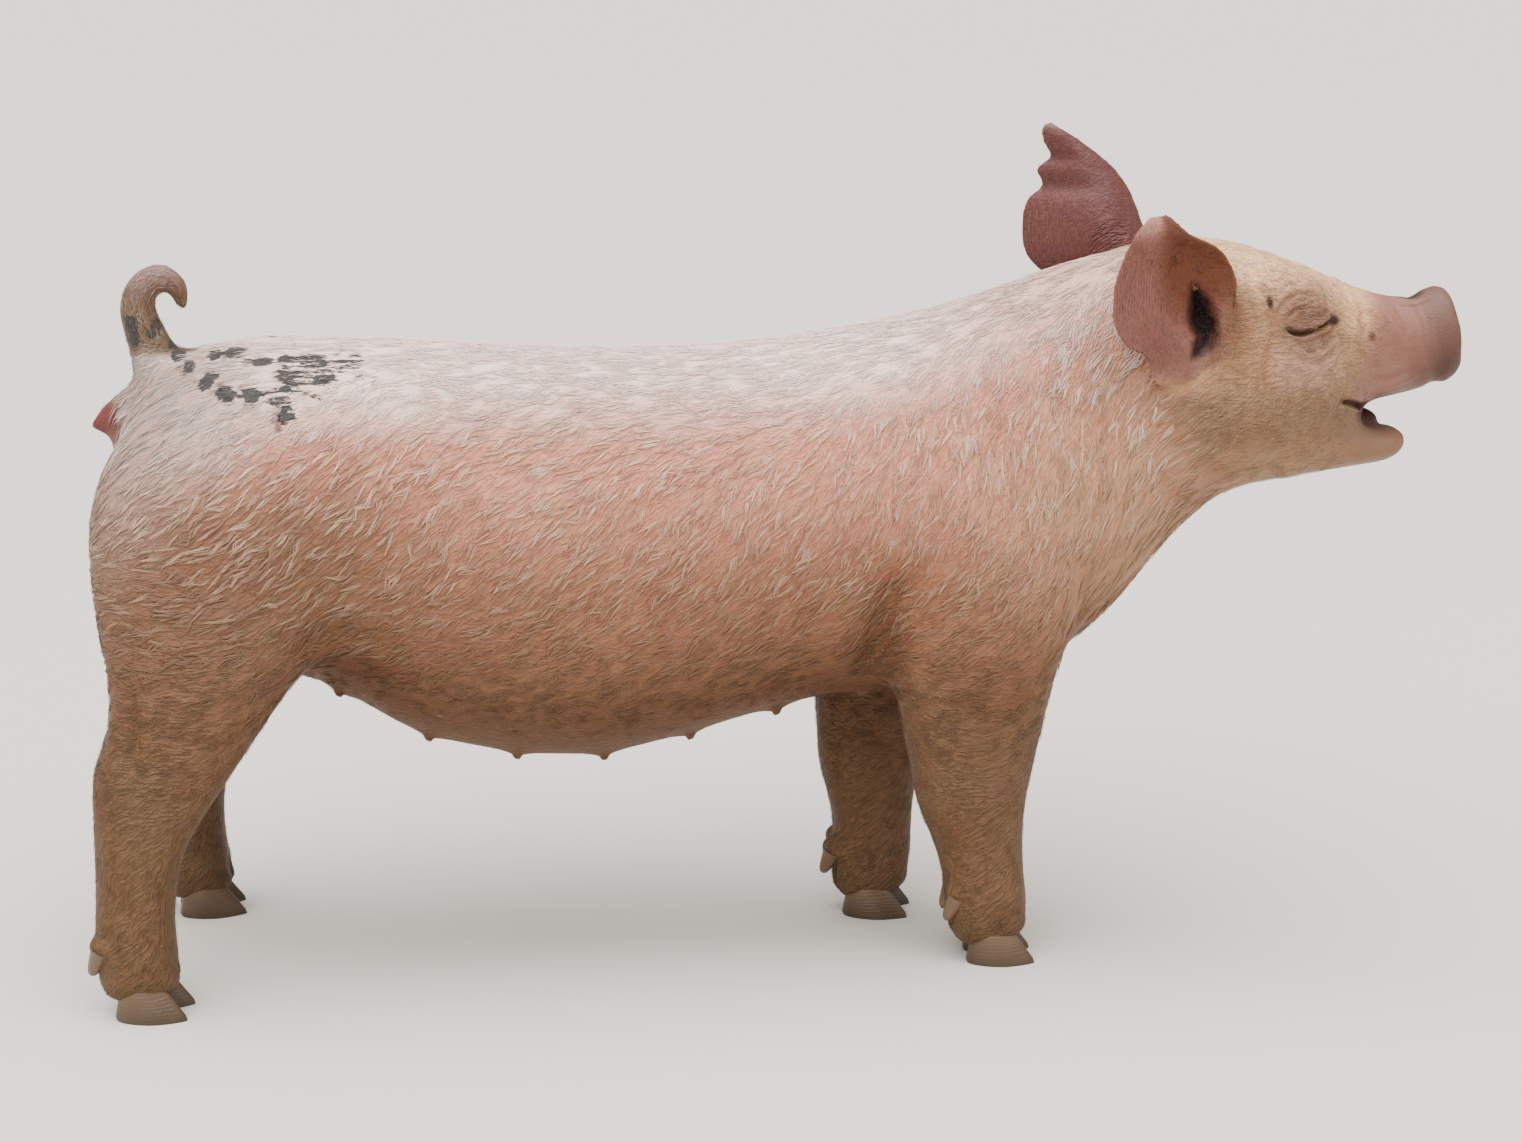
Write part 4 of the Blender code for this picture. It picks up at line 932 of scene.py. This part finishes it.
class Finish:
    """A new material with a Principled shader, and short ways to wire nodes to it."""

    def __init__(self, name, roughness):
        self.material = bpy.data.materials.new(name)
        self.material.use_nodes = True
        self.tree = self.material.node_tree
        self.shader = self.tree.nodes["Principled BSDF"]
        self.wire(self.shader, Roughness=roughness)

    def wire(self, node, **inputs):
        """Sets a node's inputs, or wires them where the value is another node's output."""
        for name, value in inputs.items():
            socket = node.inputs[int(name[1:]) if name[1:].isdigit() else name.replace("_", " ")]
            if isinstance(value, bpy.types.NodeSocket):
                self.tree.links.new(value, socket)
            else:
                socket.default_value = value

    def add(self, kind, settings=None, **inputs):
        made = self.tree.nodes.new("ShaderNode" + kind)
        for name, value in (settings or {}).items():
            setattr(made, name, value)
        self.wire(made, **inputs)
        return made

    def where(self):
        return self.add("TexCoord").outputs["Object"]

    def attribute(self, name, output="Fac"):
        return self.add("Attribute", {"attribute_name": name}).outputs[output]

    def maths(self, operation, *values, kind="Math", output=0):
        """What comes of numbers or other nodes' outputs."""
        slots = {f"i{i}": value for i, value in enumerate(values)}
        return self.add(kind, {"operation": operation}, **slots).outputs[output]

    def noise(self, where, scale, detail=2.0, roughness=0.5, output="Fac"):
        sizes = {"Scale": scale, "Detail": detail, "Roughness": roughness}
        return self.add("TexNoise", Vector=where, **sizes).outputs[output]

    def spread(self, value, low, high, settings=None, **ends):
        """A value stretched so that low and high become 0 and 1, or the given ends."""
        made = self.add("MapRange", settings, Value=value, From_Min=low, From_Max=high, **ends)
        return made.outputs[0]

    def blend(self, way, share, under, over):
        settings = {"data_type": "RGBA", "blend_type": way}
        return self.add("Mix", settings, i0=share, i6=under, i7=over).outputs[2]

    def ramp(self, value, *stops):
        """The colour that a row of stops, each a position and a colour, gives to a value."""
        made = self.add("ValToRGB", i0=value)
        elements = made.color_ramp.elements
        for i, (position, tint) in enumerate(stops):
            stop = elements[i] if i < 2 else elements.new(position)
            stop.position, stop.color = position, (*tint, 1)
        return made.outputs[0]

    def relief(self, height, strength, distance):
        return self.add("Bump", Height=height, Strength=strength, Distance=distance).outputs[0]


STROKE_LENGTH = 1 / 62  # of the relief that lying hair makes
STROKE_WIDTH = 1 / 560
STROKE_TURNS = 5

skin = Finish("living_skin", 0.5)
where = skin.where()
colour, lie = skin.attribute("tone", "Color"), skin.attribute("lie", "Vector")
spot, hairs = skin.attribute("spot"), skin.attribute("hairy")
waver = skin.noise(where, 70.0, 1.0, output="Color")
wavy = skin.maths("MULTIPLY_ADD", waver, (0.006, 0.006, 0.006), where, kind="VectorMath")
grains = []
for turn in range(STROKE_TURNS):
    angle = math.pi * turn / STROKE_TURNS
    way = (math.cos(angle), 0.0, math.sin(angle))
    sizes = (STROKE_LENGTH, STROKE_WIDTH, STROKE_WIDTH)
    turned = {"Rotation": (0.0, -angle, 0.0), "Scale": sizes}
    grain = skin.add("Mapping", {"vector_type": "TEXTURE"}, Vector=wavy, **turned).outputs[0]
    agree = skin.maths("DOT_PRODUCT", lie, way, kind="VectorMath", output="Value")
    weight = skin.maths("POWER", skin.maths("ABSOLUTE", agree), 9.0)
    grains.append((skin.maths("MULTIPLY", skin.noise(grain, 1.0, 1.5, 0.55), weight), weight))
strokes, weights = grains[0]
for grain, weight in grains[1:]:
    strokes, weights = skin.maths("ADD", strokes, grain), skin.maths("ADD", weights, weight)
strokes = skin.spread(skin.maths("DIVIDE", strokes, weights), 0.38, 0.62)
strokes = skin.maths("MULTIPLY", strokes, hairs)

# flushed places, pale hairs, freckles, stains, and the ragged spots over them all
mottle = skin.spread(skin.noise(where, 28.0, 4.0, 0.6), 0.35, 0.65)
colour = skin.blend("MULTIPLY", mottle, colour, (0.97, 0.86, 0.84, 1))
lit = skin.add("VectorMath", {"operation": "SCALE"}, i0=colour, Scale=0.45).outputs[0]
colour = skin.blend("SCREEN", skin.maths("MULTIPLY", strokes, 0.75), colour, lit)
freckle = skin.add("TexVoronoi", Vector=where, Scale=38.0)
dot = skin.maths("LESS_THAN", freckle.outputs["Distance"], 0.085)
rare = skin.add("SeparateColor", i0=freckle.outputs["Color"]).outputs[0]
rare = skin.maths("GREATER_THAN", rare, 0.8)
dot = skin.maths("MULTIPLY", skin.maths("MULTIPLY", dot, rare), 0.55)
colour = skin.blend("MIX", dot, colour, (0.2, 0.1, 0.06, 1))
stain = skin.spread(skin.noise(where, 17.0, 5.0, 0.65), 0.56, 0.74, To_Max=0.65)
colour = skin.blend("MULTIPLY", stain, colour, (0.74, 0.62, 0.45, 1))
ragged = skin.spread(skin.noise(where, 260.0), 0.0, 1.0, To_Min=-0.22, To_Max=0.22)
rim = skin.maths("MULTIPLY_ADD", strokes, -0.25, skin.maths("ADD", spot, ragged))
rim = skin.spread(rim, -0.06, 0.14, {"interpolation_type": "SMOOTHSTEP"})
colour = skin.blend("MIX", rim, colour, (0.042, 0.036, 0.034, 1))

pores = skin.add("TexVoronoi", Vector=where, Scale=700.0).outputs["Distance"]
fine = skin.maths("MULTIPLY_ADD", pores, 0.25, skin.noise(where, 180.0, 4.0, 0.6))
bump = skin.relief(skin.maths("MULTIPLY_ADD", strokes, 1.6, fine), 0.75, 0.0011)
skin.wire(skin.shader, Base_Color=colour, Normal=bump, Specular_IOR_Level=0.22)
skin.wire(skin.shader, Subsurface_Weight=0.12, Subsurface_Scale=0.006)
skin.wire(skin.shader, Subsurface_Radius=(1.0, 0.35, 0.22))

hide.data.transform(SET_DOWN)
hide.data.materials.clear()
hide.data.materials.append(skin.material)
hide.data.shade_smooth()
hide.name = "hide"
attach(hide, "root")
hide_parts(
    *("trunk", "neck", "head", "snout", "jaw", "tail", "ear_right", "ear_left"),
    *("leg_" + stance[0] for stance in STANCES),
)

# ------------------------------
# Eyes. A wet dark brown ball behind nearly closed lids, with an iris and pupil that look sideways.
# ------------------------------
IRIS_REACH = 0.0056  # from the line of sight
PUPIL_REACH = 0.0024

for side, name in ((-1, "eye_right"), (1, "eye_left")):
    mesh = bmesh.new()
    bmesh.ops.create_uvsphere(mesh, u_segments=48, v_segments=32, radius=EYE_RADIUS - 0.0002)
    sight = Vector((0.45, side * 0.88, 0.12)).normalized()
    for v in mesh.verts:
        across = (v.co - sight * v.co.dot(sight)).length
        if v.co.dot(sight) > 0 and across < IRIS_REACH:
            v.co += sight * 0.0007 * (1 - (across / IRIS_REACH) ** 2)
    centre = Vector((EYE_CENTRE.x, side * EYE_CENTRE.y, EYE_CENTRE.z))
    bmesh.ops.transform(mesh, matrix=SET_DOWN @ Matrix.Translation(centre), verts=mesh.verts)
    ball = object_from(name + "_ball", mesh)
    wet = Finish(name + "_wet", 0.06)
    where = wet.where()
    off = wet.maths("SUBTRACT", where, SET_DOWN @ centre, kind="VectorMath")
    off = wet.maths("CROSS_PRODUCT", off, sight, kind="VectorMath")
    reach = wet.maths("LENGTH", off, kind="VectorMath", output="Value")
    reach = wet.maths("MULTIPLY_ADD", wet.noise(where, 900.0), 0.0008, reach)
    rings = wet.ramp(
        wet.maths("DIVIDE", reach, EYE_RADIUS),
        (PUPIL_REACH / EYE_RADIUS, (0.003, 0.002, 0.002)),
        (0.3, (0.045, 0.018, 0.008)),
        (0.52, (0.025, 0.01, 0.006)),
        (0.6, (0.2, 0.13, 0.11)),
    )
    wet.wire(wet.shader, Base_Color=rings, Coat_Weight=0.8)
    ball.data.materials.append(wet.material)
    ball.data.shade_smooth()
    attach(ball, "root")
    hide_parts(name)

# ------------------------------
# Claws. Each foot stands on two horn claws with flat soles; two dewclaws hang behind the pastern.
# The horn grows down from the coronet in faint rings, and is brown and scuffed near the ground.
# ------------------------------
CLAW_LENGTH = 0.05
CLAW_WIDTH = 0.0235
CLAW_HEIGHT = 0.028
CLAW_SPREAD = 0.014
CLAW_SIDES, DEWCLAW_SIDES = 40, 20
DEWCLAW_LENGTH = 0.021

horn = Finish("claw_horn", 0.42)
where = horn.where()
height = horn.add("SeparateXYZ", Vector=where).outputs["Z"]
uneven = horn.noise(where, 60.0, 4.0)
growth = horn.maths("MULTIPLY", horn.maths("MULTIPLY_ADD", uneven, 0.004, height), 2600.0)
worn = horn.maths("MULTIPLY_ADD", uneven, 0.5, horn.spread(height, 0.0, 0.03))
brown, fair, tan = (0.045, 0.026, 0.012), (0.115, 0.064, 0.032), (0.085, 0.047, 0.023)
shades = horn.ramp(worn, (0.25, brown), (1.0, fair), (0.7, tan))
rings = horn.maths("MULTIPLY_ADD", horn.maths("SINE", growth), 0.18, horn.noise(where, 420.0, 3.0))
horn.wire(horn.shader, Base_Color=shades, Normal=horn.relief(rings, 0.6, 0.0007))


def claw_point(turn, share, side):
    """A point of a claw, at a turn round it and a share of its height, in the foot's frame."""
    x, y = math.cos(turn), math.sin(turn)
    pointed = 1 - 0.42 * max(0.0, x) ** 1.5
    x, y = x * CLAW_LENGTH / 2, y * pointed * CLAW_WIDTH / 2
    ahead = x / CLAW_LENGTH + 0.5
    rolled = 1 - 0.16 * share - 0.06 * max(0.0, 1 - share / 0.12)
    rolled -= 0.1 * max(0.0, (share - 0.85) / 0.15) ** 2
    level = share * CLAW_HEIGHT * (0.74 + 0.26 * ahead)
    shape = Vector((x * rolled - 0.017 * ahead * share, y * rolled, level))
    beside = Matrix.Translation((0.01, side * CLAW_SPREAD, 0))
    return beside @ Matrix.Rotation(side * math.radians(4), 4, "Z") @ shape


def dewclaw_point(turn, share, side):
    wide = (0.0074 - 0.004 * share) * math.sqrt(max(1 - (2 * max(share, 0.5) - 1) ** 4, 0.02))
    shape = Vector((math.cos(turn) * wide, math.sin(turn) * wide, (share - 0.5) * DEWCLAW_LENGTH))
    lean = Matrix.Rotation(math.radians(180 + 24), 4, "Y") @ Matrix.Rotation(side * 0.2, 4, "X")
    return Matrix.Translation((-0.025, side * 0.0145, 0.04)) @ lean @ shape


for name, levels, leg_side, ahead, swings_below, toe_in in STANCES:
    stand = SET_DOWN @ stand_of(levels, leg_side, ahead, toe_in)
    claws = bmesh.new()
    for side in (-1, 1):
        for point_at, shares, count in (
            (claw_point, (0.0, 0.03, 0.12, 0.3, 0.5, 0.7, 0.85, 0.95, 1.0), CLAW_SIDES),
            (dewclaw_point, [i / 12 for i in range(13)], DEWCLAW_SIDES),
        ):
            turns = [2 * math.pi * i / count for i in range(count)]
            rings = [[stand @ point_at(turn, share, side) for turn in turns] for share in shares]
            tube(claws, rings, fans=point_at is claw_point)
    bmesh.ops.recalc_face_normals(claws, faces=claws.faces)
    foot = object_from("claws_" + name, claws)
    foot.data.materials.append(horn.material)
    foot.data.shade_smooth()
    foot.data.set_sharp_from_angle(angle=math.radians(45))
    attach(foot, "root")
    ends = ("outer", "inner")
    kinds = [f"{kind}_{name}_{end}" for kind in ("claw", "dewclaw") for end in ends]
    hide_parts(*kinds)

# ------------------------------
# The coat. Short stiff whitish hair in flat, slightly wavy tufts that overlap like shingles. It
# runs back from the snout, turns down over neck and shoulder, slants back over flank and rump, and
# is shortest on face, ears and feet. Every tuft is a closed sliver rooted in the hide.
# ------------------------------
LOCKS = 15200
LOCK_TUFTS = 6
TUFTS = LOCKS * LOCK_TUFTS
TUFT_POINTS = 10
LONGEST, EAR_LENGTH, TAIL_LENGTH = 0.0165, 0.0032, 0.006
COUNTS = 0.3  # share from which hair counts as growing on an ear or on the tail
PIECE_TRIANGLES = 190000
WHOLE_PIECES = 5  # the first pieces of the coat aren't parted into a right and a left half
# the pale back hair is partly painted light, and the middle and low hair tones darken downwards as
# painted shade
HAIR, RUMP_HAIR, BACK_HAIR_LIT = (0.82, 0.58, 0.43), (0.88, 0.75, 0.69), (0.92, 0.77, 0.7)
HEAD_HAIR, MIDDLE_HAIR_SHADED, LOW_HAIR_SHADED = (0.56, 0.38, 0.215), (0.52, 0.34, 0.22), (0.2, 0.122, 0.062)
SPOT_HAIR, EAR_HAIR = (0.022, 0.019, 0.018), (0.15, 0.055, 0.018)
BAKE_PATCH = 0.003

rng = np.random.default_rng(11)
corners = numbers("vertices", hide.data.polygons, 3, int)
edges = place[corners]
crossed = np.cross(edges[:, 1] - edges[:, 0], edges[:, 2] - edges[:, 0])
areas = np.linalg.norm(crossed, axis=1) / 2
facing = crossed / np.maximum(2 * areas, 1e-12)[:, None]
middles = edges.mean(axis=1)
bark = BVHTree.FromPolygons(place.tolist(), corners.tolist())


def nearest(points):
    """For each point the nearest place on the hide, the hide's normal there, and the face."""
    met, normal, which = np.empty_like(points), np.empty_like(points), np.empty(len(points), int)
    for i, point in enumerate(points.tolist()):
        met[i], normal[i], which[i], _ = bark.find_nearest(point)
    return met, normal, which


x, y, z = middles.T
on_leaf = np.abs(leaf[corners[:, 0], 0])
on_muzzle = muzzle[corners[:, 0]]
on_head = smooth_step(x + 0.3 * (z - 0.4), 0.255, 0.32)
under = smooth_step(-facing[:, 2], 0.3, 0.9) * smooth_step(-z, -0.3, -0.2)
on_leg = smooth_step(-z, -0.24, -0.15)
on_tail = patch(middles, (-0.405, 0, 0.46), (0.04, 0.022, 0.038), 0.1)
bald = smooth_step(-z, -0.022, -0.012)  # the claws' rim, the vulva, the mouth and the eye
for at, reach in (
    ((-0.447, 0, 0.38), (0.028, 0.03, 0.023)),
    ((0.425, 0, 0.381), (0.055, 0.05, 0.014)),
    ((0.37, 0.052, 0.44), (0.017, 0.02, 0.009)),
):
    bald = np.maximum(bald, patch(middles, at, reach))
density = (1 - 0.6 * under) * (1 - 0.97 * on_muzzle) * (x < 0.455) * (1 - bald)
density *= 1 - 0.15 * on_leg
density *= 1 + 0.25 * on_head * (1 - on_muzzle) - 0.45 * on_leaf
density *= canal[corners].max(axis=1) < 0.15
chance = density * areas
picked = rng.choice(len(chance), LOCKS, p=chance / chance.sum())
mix = rng.random((LOCKS, 2))
mix[mix.sum(axis=1) > 1] = 1 - mix[mix.sum(axis=1) > 1]
starts = edges[picked, 0] + mix[:, :1] * (edges[picked, 1] - edges[picked, 0])
starts += mix[:, 1:] * (edges[picked, 2] - edges[picked, 0])
lift = facing[picked]

x, y, z = starts.T
on_leaf, on_head, under = on_leaf[picked], on_head[picked], under[picked]
on_leg, on_tail = smooth_step(-z, -0.25, -0.13), on_tail[picked]
topline = smooth_step(z - 0.1 * np.maximum(x, 0), 0.375, 0.415)
flow = coat_lie(starts, lift)
rising = np.tile(np.array((-0.25, 0.0, 1.0)), (LOCKS, 1))
flow = flow + (rising - flow) * (on_leaf > COUNTS)[:, None]
swirl = np.sin(x * 170 + 2.1 * np.sin(z * 95)) + 0.7 * np.sin(z * 240 + x * 60 + 1.3)
swirl += 0.5 * np.sin(x * 410 - z * 330)
veer = (0.13 * swirl + 0.13 * rng.standard_normal(LOCKS)) * (1 - 0.4 * topline)
aside = np.cross(lift, flow)
flow = flow * np.cos(veer)[:, None] + aside * np.sin(veer)[:, None]
aside = np.cross(lift, flow)

length = LONGEST - 0.006 * under - 0.012 * on_leg
length -= 0.012 * on_head * (1 - on_leg)
length = np.where(on_leaf > COUNTS, EAR_LENGTH, length)
length *= 1 - 0.6 * (y > 0) * patch(starts, LEFT_EAR_ROOT, (0.05, 0.04, 0.04), 0.6)
length = np.where(on_tail > COUNTS, TAIL_LENGTH, length)
loose = np.maximum.reduce([on_head, on_leg, on_leaf > COUNTS, on_tail > COUNTS, 0.7 * topline])
loose = np.clip(loose, 0, 1)
bright = 0.42 + 0.08 * np.sin(x * 95 + 3 * np.sin(z * 60)) + 0.15 * topline
shine = np.clip(bright + 0.3 * rng.standard_normal(LOCKS), 0.04, 0.92)
curve = 0.06 * (np.sin(x * 350 + z * 270) + 0.8 * rng.standard_normal(LOCKS))


def each(values):
    """A lock's value, once for each of its tufts."""
    return np.repeat(values, LOCK_TUFTS, axis=0)


# the tufts of a lock start side by side and draw together towards its tip
beside = rng.standard_normal(TUFTS) * (0.0007 + 0.0022 * each(loose))
behind = rng.uniform(-1, 1, TUFTS) * (0.002 + 0.0015 * each(loose))
wanted = each(starts) + each(aside) * beside[:, None] + each(flow) * behind[:, None]
roots, lift, faces = nearest(wanted)
flow, shine, loose, topline = each(flow), each(shine), each(loose), each(topline)
on_leaf, on_head, on_leg, on_tail = each(on_leaf), each(on_head), each(on_leg), each(on_tail)
length = each(length) * rng.uniform(0.75, 1.25, TUFTS)
marked = spot_depth(roots)
ahead = [spot_depth(roots + flow * share * length[:, None]) for share in (0.5, 1)]
ahead = np.maximum(*ahead)
grey = (marked > -0.06) & (rng.random(TUFTS) < 0.84)
cropped = grey | ((ahead > 0.05) & (rng.random(TUFTS) < 0.8))
length *= np.where(cropped, 0.36, 1)
width = 0.0002 + 0.03 * length * rng.uniform(0.7, 1.3, TUFTS)
proud = 0.00025 + 0.022 * length * rng.random(TUFTS)
proud += 0.0012 * (rng.random(TUFTS) < 0.04) * (1 - on_leg) * (1 - on_head)
bend = length * (each(curve) + 0.02 * rng.standard_normal(TUFTS))
gather = -0.55 * beside * (1 - loose)
x, y, z = roots.T

stations = (0.0, 0.38, 0.72, 1.0)
heights = (-0.0004, 0.00045, 0.00075, 1.0)
spines, outs = [], []
step_from, heading = roots.copy(), flow.copy()
for share, before in zip(stations, (0.0, *stations[:-1])):
    goal = step_from + heading * ((share - before) * length)[:, None]
    met, normal, _ = nearest(goal)
    turned = (normal * lift).sum(axis=1) < 0.2
    normal[turned] = lift[turned]
    met[turned] = goal[turned]
    step_from = met
    heading = heading - normal * (heading * normal).sum(axis=1, keepdims=True)
    heading /= np.maximum(np.linalg.norm(heading, axis=1, keepdims=True), 1e-6)
    spines.append(met)
    outs.append(normal)

points = np.empty((TUFTS, TUFT_POINTS, 3))
for level, (share, height) in enumerate(zip(stations, heights)):
    out_here = outs[level]
    across = np.cross(out_here, heading)
    across /= np.maximum(np.linalg.norm(across, axis=1, keepdims=True), 1e-6)
    rise = proud if level == 3 else np.full(TUFTS, height) + 0.45 * proud * (level == 2)
    sway = bend * (0.0, 1.0, -0.6, 0.2)[level] + gather * share
    spine = spines[level] + out_here * rise[:, None] + across * sway[:, None]
    if level == 3:
        points[:, -1] = spine
        break
    half = width * (0.5, 0.46, 0.3)[level]
    points[:, 3 * level] = spine + across * half[:, None]
    points[:, 3 * level + 1] = spine - across * half[:, None]
    points[:, 3 * level + 2] = spine + out_here * (0.4 * half)[:, None]

tints = np.tile(np.array(HAIR, float), (TUFTS, 1))
tints = mixed(tints, RUMP_HAIR, smooth_step(-x, 0.22, 0.34) * smooth_step(z, 0.35, 0.4))
# hair darkens downwards as painted shade and is paler on the back as painted light
tints = mixed(tints, MIDDLE_HAIR_SHADED, smooth_step(-z, -0.39, -0.29))
tints = mixed(tints, BACK_HAIR_LIT, 0.8 * topline * (1 - smooth_step(-x, 0.26, 0.34)))
tints = mixed(tints, HEAD_HAIR, on_head)
tints = mixed(tints, LOW_HAIR_SHADED, smooth_step(-z, -0.32, -0.19))
root_tone = hide_tone(roots, lift, leaf[corners[faces, 0]])
beside_ear = (y > 0) * patch(roots, LEFT_EAR_ROOT, (0.05, 0.04, 0.04), 0.6)
lower_down = 0.8 * smooth_step(-z, -0.32, -0.18)
calm = np.maximum.reduce([0.65 * on_head, lower_down, 0.25 * topline, beside_ear])
calm = np.maximum(calm, 0.6 * (on_tail > COUNTS))
keep = 0.04 + 0.76 * shine * (1 - calm)
keep *= np.where(on_leaf > COUNTS, 0.3, 1)
tints = root_tone * (1 - keep)[:, None] + tints * keep[:, None]
tints *= rng.uniform(0.9, 1.08, (TUFTS, 1))
tints = mixed(tints, SPOT_HAIR, grey)
side, across, up, outer = leaf[corners[faces, 0]].T
inside_ear = (on_leaf > COUNTS) & (outer > 0)
in_brown = 1 - smooth_step(off_brown(leaf[corners[faces, 0]]), 0.5, 1.05)
tints = mixed(tints, EAR_HAIR, 0.85 * inside_ear * in_brown)
shades = np.empty((TUFTS, TUFT_POINTS, 3))
for level, share in enumerate((0.25, 0.8, 1.0)):
    shades[:, 3 * level : 3 * level + 3] = (root_tone * (1 - share) * 0.92 + tints * share)[:, None]
shades[:, -1] = tints
shades = np.clip(shades, 0, 1)

# an unwrap of the hide itself: round the barrel, round each leg, or over the leaf of an ear
turns = np.arctan2(y, z - 0.31 - 0.35 * np.maximum(x - 0.15, 0)) / (2 * math.pi) + 0.5
unwrapped = np.stack([turns, (x + 0.5) * 0.98], axis=1)
leg_of = np.where(x > -0.12, 0, 2) + (y > 0)
for which, (name, levels, leg_side, ahead, swings_below, toe_in) in enumerate(STANCES):
    on_it = (leg_of == which) & (z < 0.2)
    upwards = np.array(levels[::-1])
    middle_x = np.interp(z, upwards[:, 0], (upwards[:, 1] + upwards[:, 2]) / 2)
    middle_y = leg_side * np.interp(z, upwards[:, 0], upwards[:, 3])
    middle_x += swing(ahead, swings_below, z)
    around = np.arctan2(y - middle_y, x - middle_x) / (2 * math.pi) + 0.5
    unwrapped[on_it] = np.stack([around, z * 3.2], axis=1)[on_it]
is_leaf = on_leaf > COUNTS
over_leaf = np.stack([0.02 + 0.46 * across + 0.5 * (outer > 0), 0.02 + 0.9 * up], axis=1)
unwrapped[is_leaf] = over_leaf[is_leaf]

region = np.select(
    [is_leaf, on_tail > COUNTS, z < 0.2, x > 0.29, x > 0.1, x > -0.08, x > -0.26],
    [0, 0, 1 + leg_of, 5, 6, 7, 8],
    9,
)
names = ("ears_and_tail", "leg_fore_right", "leg_fore_left", "leg_hind_right", "leg_hind_left")
names += ("head", "neck", "ribs", "flank", "rump")
sliver = [(1, 2, 0), (9, 7, 6), (9, 8, 7), (9, 6, 8)]
for low in (0, 3):
    for i, j in ((0, 1), (1, 2), (2, 0)):
        sliver += [(low + j + 3, low + j, low + i), (low + i + 3, low + j + 3, low + i)]
sliver = np.array(sliver)

hair = Finish("pale_hair", 0.55)
hair.wire(hair.shader, Base_Color=hair.attribute("tone", "Color"), Specular_IOR_Level=0.3)

for number, name in enumerate(names):
    halves = (("", y == y),) if number < WHOLE_PIECES else (("_right", y <= 0), ("_left", y > 0))
    for label, half in halves:
        chosen = np.nonzero((region == number) & half)[0]
        chosen = chosen[: PIECE_TRIANGLES // len(sliver)]
        count = len(chosen)
        walls = (sliver[None] + TUFT_POINTS * np.arange(count)[:, None, None]).reshape(-1, 3)
        data = bpy.data.meshes.new("coat_" + name)
        data.vertices.add(count * TUFT_POINTS)
        data.vertices.foreach_set("co", points[chosen].ravel())
        data.loops.add(len(walls) * 3)
        data.loops.foreach_set("vertex_index", walls.ravel())
        data.polygons.add(len(walls))
        data.polygons.foreach_set("loop_start", np.arange(len(walls)) * 3)
        data.update(calc_edges=True)
        opaque = np.dstack([shades[chosen], np.ones((count, TUFT_POINTS, 1))])
        write(data, "tone", "FLOAT_COLOR", "color", opaque)
        ring_turn = 2 * math.pi * np.arange(TUFT_POINTS) / 3
        offset = np.stack([np.cos(ring_turn), np.sin(ring_turn)], axis=1) * BAKE_PATCH / 2
        offset *= np.repeat((1.0, 0.7, 0.4, 0.0), (3, 3, 3, 1))[:, None]
        patches = unwrapped[chosen][:, None] + offset[None]
        bake = data.uv_layers.new(name="OFBake")
        corner_uv = patches.reshape(-1, 2)[walls.ravel()]
        bake.data.foreach_set("uv", corner_uv.astype(np.float32).ravel())
        data.transform(SET_DOWN)
        data.materials.append(hair.material)
        coat = bpy.data.objects.new("coat_" + name + label, data)
        bpy.context.scene.collection.objects.link(coat)
        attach(coat, "root")

# ------------------------------
# Floor, light and camera. A plain pale floor under broad soft lights, most of it from above; the
# camera stands a little above the animal's back, off its right side.
# ------------------------------
CAMERA_YAW = math.radians(6)
CAMERA_PITCH = math.radians(12.5)
CAMERA_DISTANCE = 2.03
CAMERA_AIM = Vector((0, 0, 0.268))
CAMERA_LENS = 69.07
FLOOR_REACH = 90

mesh = bmesh.new()
bmesh.ops.create_grid(mesh, x_segments=1, y_segments=1, size=FLOOR_REACH)
floor = object_from("floor", mesh)
plain = Finish("plain_floor", 0.85)
plain.wire(plain.shader, Base_Color=(0.6, 0.565, 0.505, 1))
floor.data.materials.append(plain.material)

world = bpy.data.worlds.new("soft_room")
world.use_nodes = True
air = world.node_tree.nodes["Background"].inputs
air["Color"].default_value, air["Strength"].default_value = (0.98, 0.98, 1.0, 1), 0.42
bpy.context.scene.world = world
sun = bpy.data.lights.new("overhead", "SUN")
sun.energy = 8.8
sun.angle = math.radians(80)
light = bpy.data.objects.new("overhead", sun)
bpy.context.scene.collection.objects.link(light)
light.rotation_euler = (math.radians(14), math.radians(-8), 0)
for name, spot_at, size, power in (
    ("side", (-1.0, -2.8, 1.7), 1.8, 24.0),
    ("front", (2.4, -1.4, 1.6), 1.6, 13.0),
):
    lamp = bpy.data.lights.new(name, "AREA")
    lamp.size = size
    lamp.energy = power
    light = bpy.data.objects.new(name, lamp)
    bpy.context.scene.collection.objects.link(light)
    light.location = spot_at
    aim = Vector((0, 0, 0.28)) - light.location
    light.rotation_euler = aim.to_track_quat("-Z", "Y").to_euler()

back = Vector(
    (
        -math.sin(CAMERA_YAW) * math.cos(CAMERA_PITCH),
        -math.cos(CAMERA_YAW) * math.cos(CAMERA_PITCH),
        math.sin(CAMERA_PITCH),
    )
)
lens = bpy.data.cameras.new("camera")
lens.lens = CAMERA_LENS
lens.sensor_width = 36
camera = bpy.data.objects.new("camera", lens)
bpy.context.scene.collection.objects.link(camera)
camera.location = SET_DOWN @ (CAMERA_AIM + CAMERA_DISTANCE * back)
camera.rotation_euler = (-back).to_track_quat("-Z", "Y").to_euler()
bpy.context.scene.camera = camera
